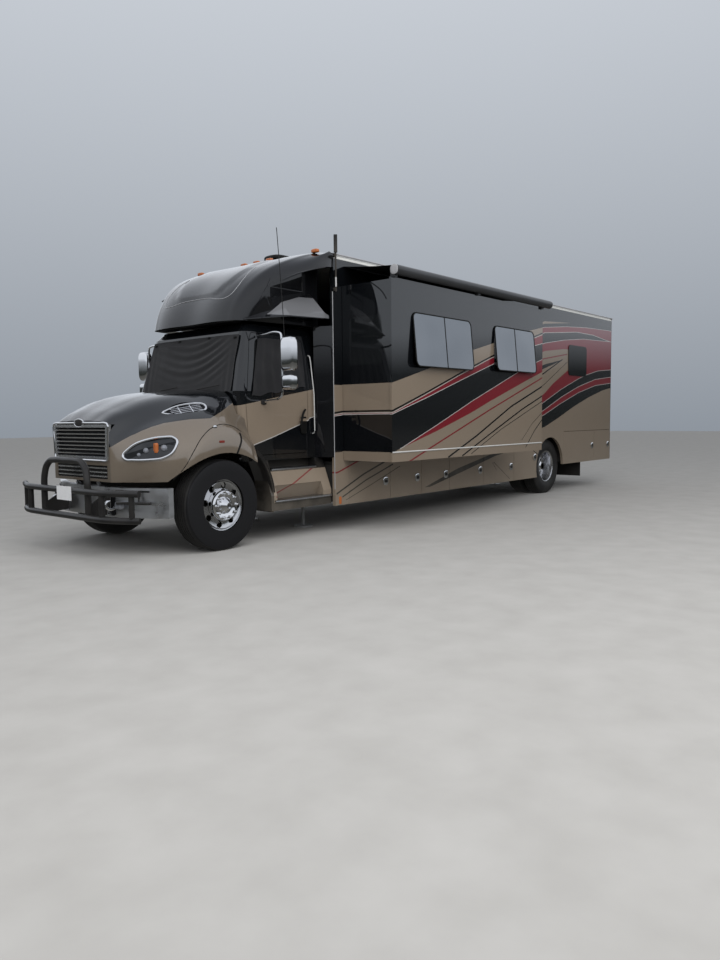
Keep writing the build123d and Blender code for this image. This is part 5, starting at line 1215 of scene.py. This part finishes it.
# Cab steps: a tan boxed side with a dark red coach line, bent from sheet and bolted under the door, with a
# tan riser behind the wells and bright serrated treads with a rolled nose on both steps.
step_paint = make_material("step_paint", tan_colour, 0.35, coat=0.5, specular=0.10)
step_tree = step_paint.node_tree
spot = shaded_spot(step_tree)
from_nose = math_node(step_tree, "SUBTRACT", axle_x - 0.82, spot[0])
step_line = math_node(step_tree, "ADD", 0.545, math_node(step_tree, "MULTIPLY", 0.42, from_nose))
off_line = math_node(step_tree, "ABSOLUTE", math_node(step_tree, "SUBTRACT", spot[2], step_line))
over_sill = math_node(step_tree, "GREATER_THAN", spot[2], 0.845)
under_tread = math_node(step_tree, "LESS_THAN", spot[2], 0.472)
before_steps = math_node(step_tree, "GREATER_THAN", spot[0], axle_x - 0.765)
red_line = where_all(step_tree, math_node(step_tree, "LESS_THAN", off_line, 0.009),
                     math_node(step_tree, "LESS_THAN", spot[2], 0.845),
                     math_node(step_tree, "LESS_THAN", spot[0], axle_x - 0.80))
step_tone = two_tone(step_tree, over_sill, tan_colour, black_colour)
step_tone = two_tone(step_tree, under_tread, step_tone, (0.012, 0.012, 0.012))
step_tone = two_tone(step_tree, before_steps, step_tone, black_colour)
step_tone = two_tone(step_tree, red_line, step_tone, red_colour)
feed(step_paint, "Base Color", dusty(step_tree, step_tone, 0.4, 1.1, 0.35))
paint_nodes(step_paint, "step_fairings")
tread_metal = make_material("tread_metal", (0.50, 0.50, 0.50), 0.32, 1.0)
mottle(tread_metal, (0.36, 0.36, 0.36), (0.60, 0.60, 0.60), 14.0)
grid_u, grid_v = np.meshgrid(np.linspace(0, 1, 321), np.linspace(0, 1, 13), indexing="ij")
serration = np.clip(np.cos(grid_u * 2 * np.pi * 32) * 2, -1, 1)
teeth = 0.006 * serration * np.clip(np.sin(grid_v * np.pi) * 3, 0, 1)
riser_edges = np.array(((0, 1.060, 0.488), (0, 1.150, 0.676)))
riser_stations = np.linspace(-0.816, -1.634, 9)[:, None, None] * (1, 0, 0)
for side, word in both_sides:
    riser = (riser_edges + riser_stations) * (1, side, 1)
    piece(f"step_riser_{word}", *shell(riser, riser - (0, side * 0.012, 0)), step_paint, "root", 30)
    for number, (near, far, top, front, rear) in enumerate(((1.030, 1.212, 0.500, -0.775, -1.780),
                                                            (1.000, 1.085, 0.874, -0.830, -1.620))):
        tread_x = front + (rear - front) * grid_u
        face = np.stack([tread_x, side * (near + (far - near) * grid_v), top + teeth], axis=-1)
        under = face.copy()
        under[..., 2] = top - 0.012
        piece(f"tread_{word}_{number}", *shell(face, under), tread_metal, "root", 30)
    nose = on_side(side, (-0.775, 1.204, 0.484), (-1.225, 1.204, 0.484), (-1.780, 1.204, 0.484))
    tube(f"step_nose_{word}", nose, 0.015, tread_metal, "root", 1, 12)
    nose = on_side(side, (-0.830, 1.084, 0.862), (-1.225, 1.084, 0.862), (-1.620, 1.084, 0.862))
    tube(f"upper_nose_{word}", nose, 0.016, tread_metal, "root", 1, 12)

# Locker latches: round chromed paddles with a dark slot, screwed into each locker door, and amber side
# markers low at the front of the box.
def latch_place(front, rear, under_slide):
    """Where a locker door's latch is, as on the solid doors: along and up."""
    x = rear + 0.110 if rear > -7.43 or rear < -9.0 else (front + rear) / 2
    low = 0.345 if front > -7.43 else 0.540
    top = 0.901 if under_slide else 1.173
    return x, low + (0.5 if rear < -7.43 else 0.46) * (top - low)


left_lockers = ((-2.060, -2.950), (-2.950, -3.710), (-3.710, -4.460), (-4.460, -5.480), (-5.480, -6.520),
                (-6.520, -7.410), (-8.550, -9.965), (-9.965, -10.790))
right_lockers = ((-3.710, -5.480), (-5.480, -7.410), (-8.550, -10.790))
for side, word, lockers in ((1, "left", left_lockers), (-1, "right", right_lockers)):
    for number, (front, rear) in enumerate(lockers, start=1):
        x, z = latch_place(front, rear, side > 0 and front > -5.94)
        body = f"baggage_door_{word}_{number}"
        latch = (x, side * 1.277, z)
        rounded_block(f"latch_{word}_{number}", latch, (0.058, 0.009, 0.062), chrome, body, 0.8, steps=18)
        paddle = (x, side * 1.283, z - 0.004)
        rounded_block(f"latch_paddle_{word}_{number}", paddle, (0.034, 0.009, 0.022), dark_metal, body, 0.5,
                      steps=12)
    marker = (-1.880, side * 1.272, 0.410)
    rounded_block(f"side_marker_{word}", marker, (0.022, 0.006, 0.050), marker_amber, "root", 0.4, steps=14)

# Roof and its fittings: white roof membrane, white moulded air conditioner shrouds, a dark plastic vent
# dome and the black corner aerial on a metal foot. The finish is chosen by where the fitting stands.
roof_white = make_material("roof_white", (0.62, 0.62, 0.60), 0.5)
mottle(roof_white, (0.52, 0.52, 0.50), (0.68, 0.68, 0.66), 1.5)
fitting = make_material("fitting", (0.5, 0.5, 0.5), 0.4)
fitting_tree = fitting.node_tree
spot = shaded_spot(fitting_tree)
front_part = math_node(fitting_tree, "GREATER_THAN", spot[0], axle_x - 2.6)
off_foot = math_node(fitting_tree, "ABSOLUTE", math_node(fitting_tree, "SUBTRACT", spot[2], 3.22))
metal_foot = where_all(fitting_tree, front_part, math_node(fitting_tree, "LESS_THAN", off_foot, 0.06))
fitting_tone = two_tone(fitting_tree, front_part, (0.60, 0.60, 0.58), (0.012, 0.012, 0.013))
fitting_tone = two_tone(fitting_tree, metal_foot, fitting_tone, (0.45, 0.45, 0.46))
feed(fitting, "Base Color", dusty(fitting_tree, fitting_tone, 3.6, 3.9, 0.15))
paint_nodes(roof_white, "roof")
paint_nodes(fitting, "roof_fittings")
rounded_block("vent_lid", (-2.07, 0.0, 3.715), (0.200, 0.170, 0.052), seam_black, "root", 0.7, steps=24)

# Lamps: moulded plastic lenses screwed to the caps, amber on the nose and red at the rear, told apart by
# where they stand.
lamp_lens = make_material("lamp_lens", (0.5, 0.1, 0.02), 0.15, coat=1.0)
lens_tree = lamp_lens.node_tree
at_nose = math_node(lens_tree, "GREATER_THAN", shaded_spot(lens_tree)[0], axle_x - 5.0)
lens_tone = two_tone(lens_tree, at_nose, (0.30, 0.012, 0.010), (0.72, 0.20, 0.03))
feed(lamp_lens, "Base Color", dusty(lens_tree, lens_tone, 0.8, 1.4, 0.2))
paint_nodes(lamp_lens, "lamps")

# Glass: tinted panes that mirror the sky in the leaning side of the slide-out, each in a black rubber with
# a bar over the joint of its two halves, and plain dark glass in the walls and the cab. A pale trim runs
# along the foot of the slide-out.
pane_glass = make_material("pane_glass", (0.20, 0.215, 0.235), 0.05, 0.75, specular=0.8)
glass_tree = pane_glass.node_tree
end_pane = math_node(glass_tree, "GREATER_THAN", shaded_spot(glass_tree)[0], axle_x - 2.2)
side_pane = math_node(glass_tree, "SUBTRACT", 1.0, end_pane)
pane_noise = add_node(glass_tree, "ShaderNodeTexNoise", object_point(glass_tree), None, 0.9, 2.0).outputs[0]
pane_tone = two_tone(glass_tree, pane_noise, (0.13, 0.145, 0.165), (0.28, 0.30, 0.325))
feed(pane_glass, "Base Color", two_tone(glass_tree, end_pane, pane_tone, (0.008, 0.009, 0.010)))
feed(pane_glass, "Metallic", math_node(glass_tree, "MULTIPLY", side_pane, 0.75))
paint_nodes(pane_glass, "slide_glass")
side_glass = make_material("side_glass", (0.010, 0.011, 0.012), 0.04, specular=0.5)
mottle(side_glass, (0.008, 0.009, 0.010), (0.014, 0.015, 0.016), 1.5)
paint_nodes(side_glass, "house_windows", "windshield", "door_glass_left", "door_glass_right")
pane_lean = math.radians(5.5)
room_face = 2.0953


def on_pane(high, x, down, out):
    """Point of a leaning pane: a distance along, a way down from its top edge and a height over its face."""
    return (x, room_face + out * math.cos(pane_lean) + down * math.sin(pane_lean),
            high + out * math.sin(pane_lean) - down * math.cos(pane_lean))


for number, (rear, front, low, high, joint) in enumerate(((-3.740, -2.370, 2.130, 2.820, -3.080),
                                                          (-5.610, -4.390, 2.160, 2.820, -4.990))):
    foot = high - low
    lip = []
    for x, down, first in ((front - 0.08, 0.08, 0), (front - 0.08, foot - 0.08, 90),
                           (rear + 0.08, foot - 0.08, 180), (rear + 0.08, 0.08, 270)):
        for turn in np.radians(np.linspace(first, first + 90, 7)):
            lip.append(on_pane(high, x + 0.076 * math.sin(turn), down - 0.076 * math.cos(turn), 0.008))
    tube(f"pane_rubber_{number}", lip, 0.009, seam_black, "slide_out", 1, 8, closed=True)
    bar = [on_pane(high, joint, down, 0.011) for down in (0.005, 0.3, foot - 0.005)]
    tube(f"pane_joint_{number}", bar, 0.006, seam_black, "slide_out", 1, 8)
foot_trim = [(-1.945, 2.096, 1.052), (-3.9, 2.096, 1.052), (-5.935, 2.096, 1.052)]
tube("slide_trim", foot_trim, 0.009, trim_pale, "slide_out", 1, 10)

# Slide topper: dark fabric on a roller between pale end caps, carried by the room, its inner edge held in a
# rail on the wall. It unrolls over the room as that goes out, and hangs a little slack between the two.
topper_skin = grain(make_material("topper_skin", (0.022, 0.023, 0.025), 0.6), 300.0, 0.2)
mottle(topper_skin, (0.016, 0.017, 0.018), (0.040, 0.041, 0.043), 2.0)
topper_metal = make_material("topper_metal", (0.045, 0.047, 0.05), 0.35, 0.3)
mottle(topper_metal, (0.035, 0.036, 0.038), (0.06, 0.062, 0.066), 2.0)
wall_rail = np.array((1.2708, 3.443))
roller_top = np.array((2.105, 3.353))
across = np.linspace(0, 1, 13)[:, None]
along = np.linspace(-6.030, -2.002, 61)[None, :]
cloth = np.zeros((across.size, along.size, 3))
cloth[..., 0] = along
cloth[..., 1:] = wall_rail + (roller_top - wall_rail) * across[..., None]
cloth[..., 2] -= 0.010 * np.sin(across * np.pi)
cloth[..., 2] += 0.0015 * np.sin(along * 9.0) * np.sin(across * np.pi)
topper_faces = grid_faces(across.size, along.size)
topper_cloth = piece("topper_cloth", cloth.reshape(-1, 3), topper_faces, topper_skin, None, 60)
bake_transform(topper_cloth)
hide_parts("topper_fabric")
paint_nodes(topper_metal, "slide_topper")
for number, x in enumerate((-1.950, -6.090)):
    rounded_block(f"topper_cap_{number}", (x, 2.135, 3.290), (0.010, 0.060, 0.060), trim_grey, "slide_out",
                  0.8, steps=20)

# Under the floor and inside the cab: black chassis steel with road film, a grey engine casing, steel
# levelling legs, and dark moulded trim and seats. The rear cap and the awning case are gloss black.
chassis_black = make_material("chassis_black", (0.018, 0.018, 0.019), 0.6)
mottle(chassis_black, (0.012, 0.012, 0.013), (0.040, 0.036, 0.031), 5.0)
floor_black = make_material("floor_black", (0.02, 0.02, 0.02), 0.7)
mottle(floor_black, (0.014, 0.014, 0.014), (0.034, 0.032, 0.029), 3.0)
casing_grey = make_material("casing_grey", (0.10, 0.10, 0.10), 0.5, 0.4)
mottle(casing_grey, (0.07, 0.07, 0.07), (0.14, 0.135, 0.13), 6.0)
pipe_steel = make_material("pipe_steel", (0.20, 0.18, 0.16), 0.45, 0.7)
mottle(pipe_steel, (0.12, 0.10, 0.085), (0.28, 0.26, 0.24), 5.0)
trim_dark = grain(make_material("trim_dark", (0.03, 0.03, 0.031), 0.6), 240.0, 0.3)
mottle(trim_dark, (0.024, 0.024, 0.025), (0.038, 0.038, 0.039), 8.0)
seat_leather = grain(make_material("seat_leather", (0.10, 0.085, 0.070), 0.5), 320.0, 0.35)
mottle(seat_leather, (0.085, 0.072, 0.060), (0.125, 0.107, 0.088), 7.0)
corner_black = make_material("corner_black", black_colour, 0.3, coat=0.6, specular=0.10)
mottle(corner_black, (0.006, 0.007, 0.008), (0.012, 0.012, 0.013), 3.0)
flap_rubber = grain(make_material("flap_rubber", (0.014, 0.014, 0.015), 0.7), 120.0, 0.3)
mottle(flap_rubber, (0.010, 0.010, 0.011), (0.030, 0.028, 0.025), 5.0)
leg_steel = make_material("leg_steel", (0.22, 0.22, 0.22), 0.4, 0.6)
mottle(leg_steel, (0.16, 0.16, 0.16), (0.30, 0.30, 0.30), 8.0)
paint_nodes(chassis_black, "frame_rails", "axles", "knuckle_left", "knuckle_right")
paint_nodes(leg_steel, "levelling_jacks")
paint_nodes(floor_black, "house_floor")
paint_nodes(casing_grey, "engine_block")
paint_nodes(pipe_steel, "exhaust")
paint_nodes(trim_dark, "dashboard")
paint_nodes(seat_leather, "seats")
paint_nodes(corner_black, "rear_cap", "awning_case")
paint_nodes(flap_rubber, "mud_flap")
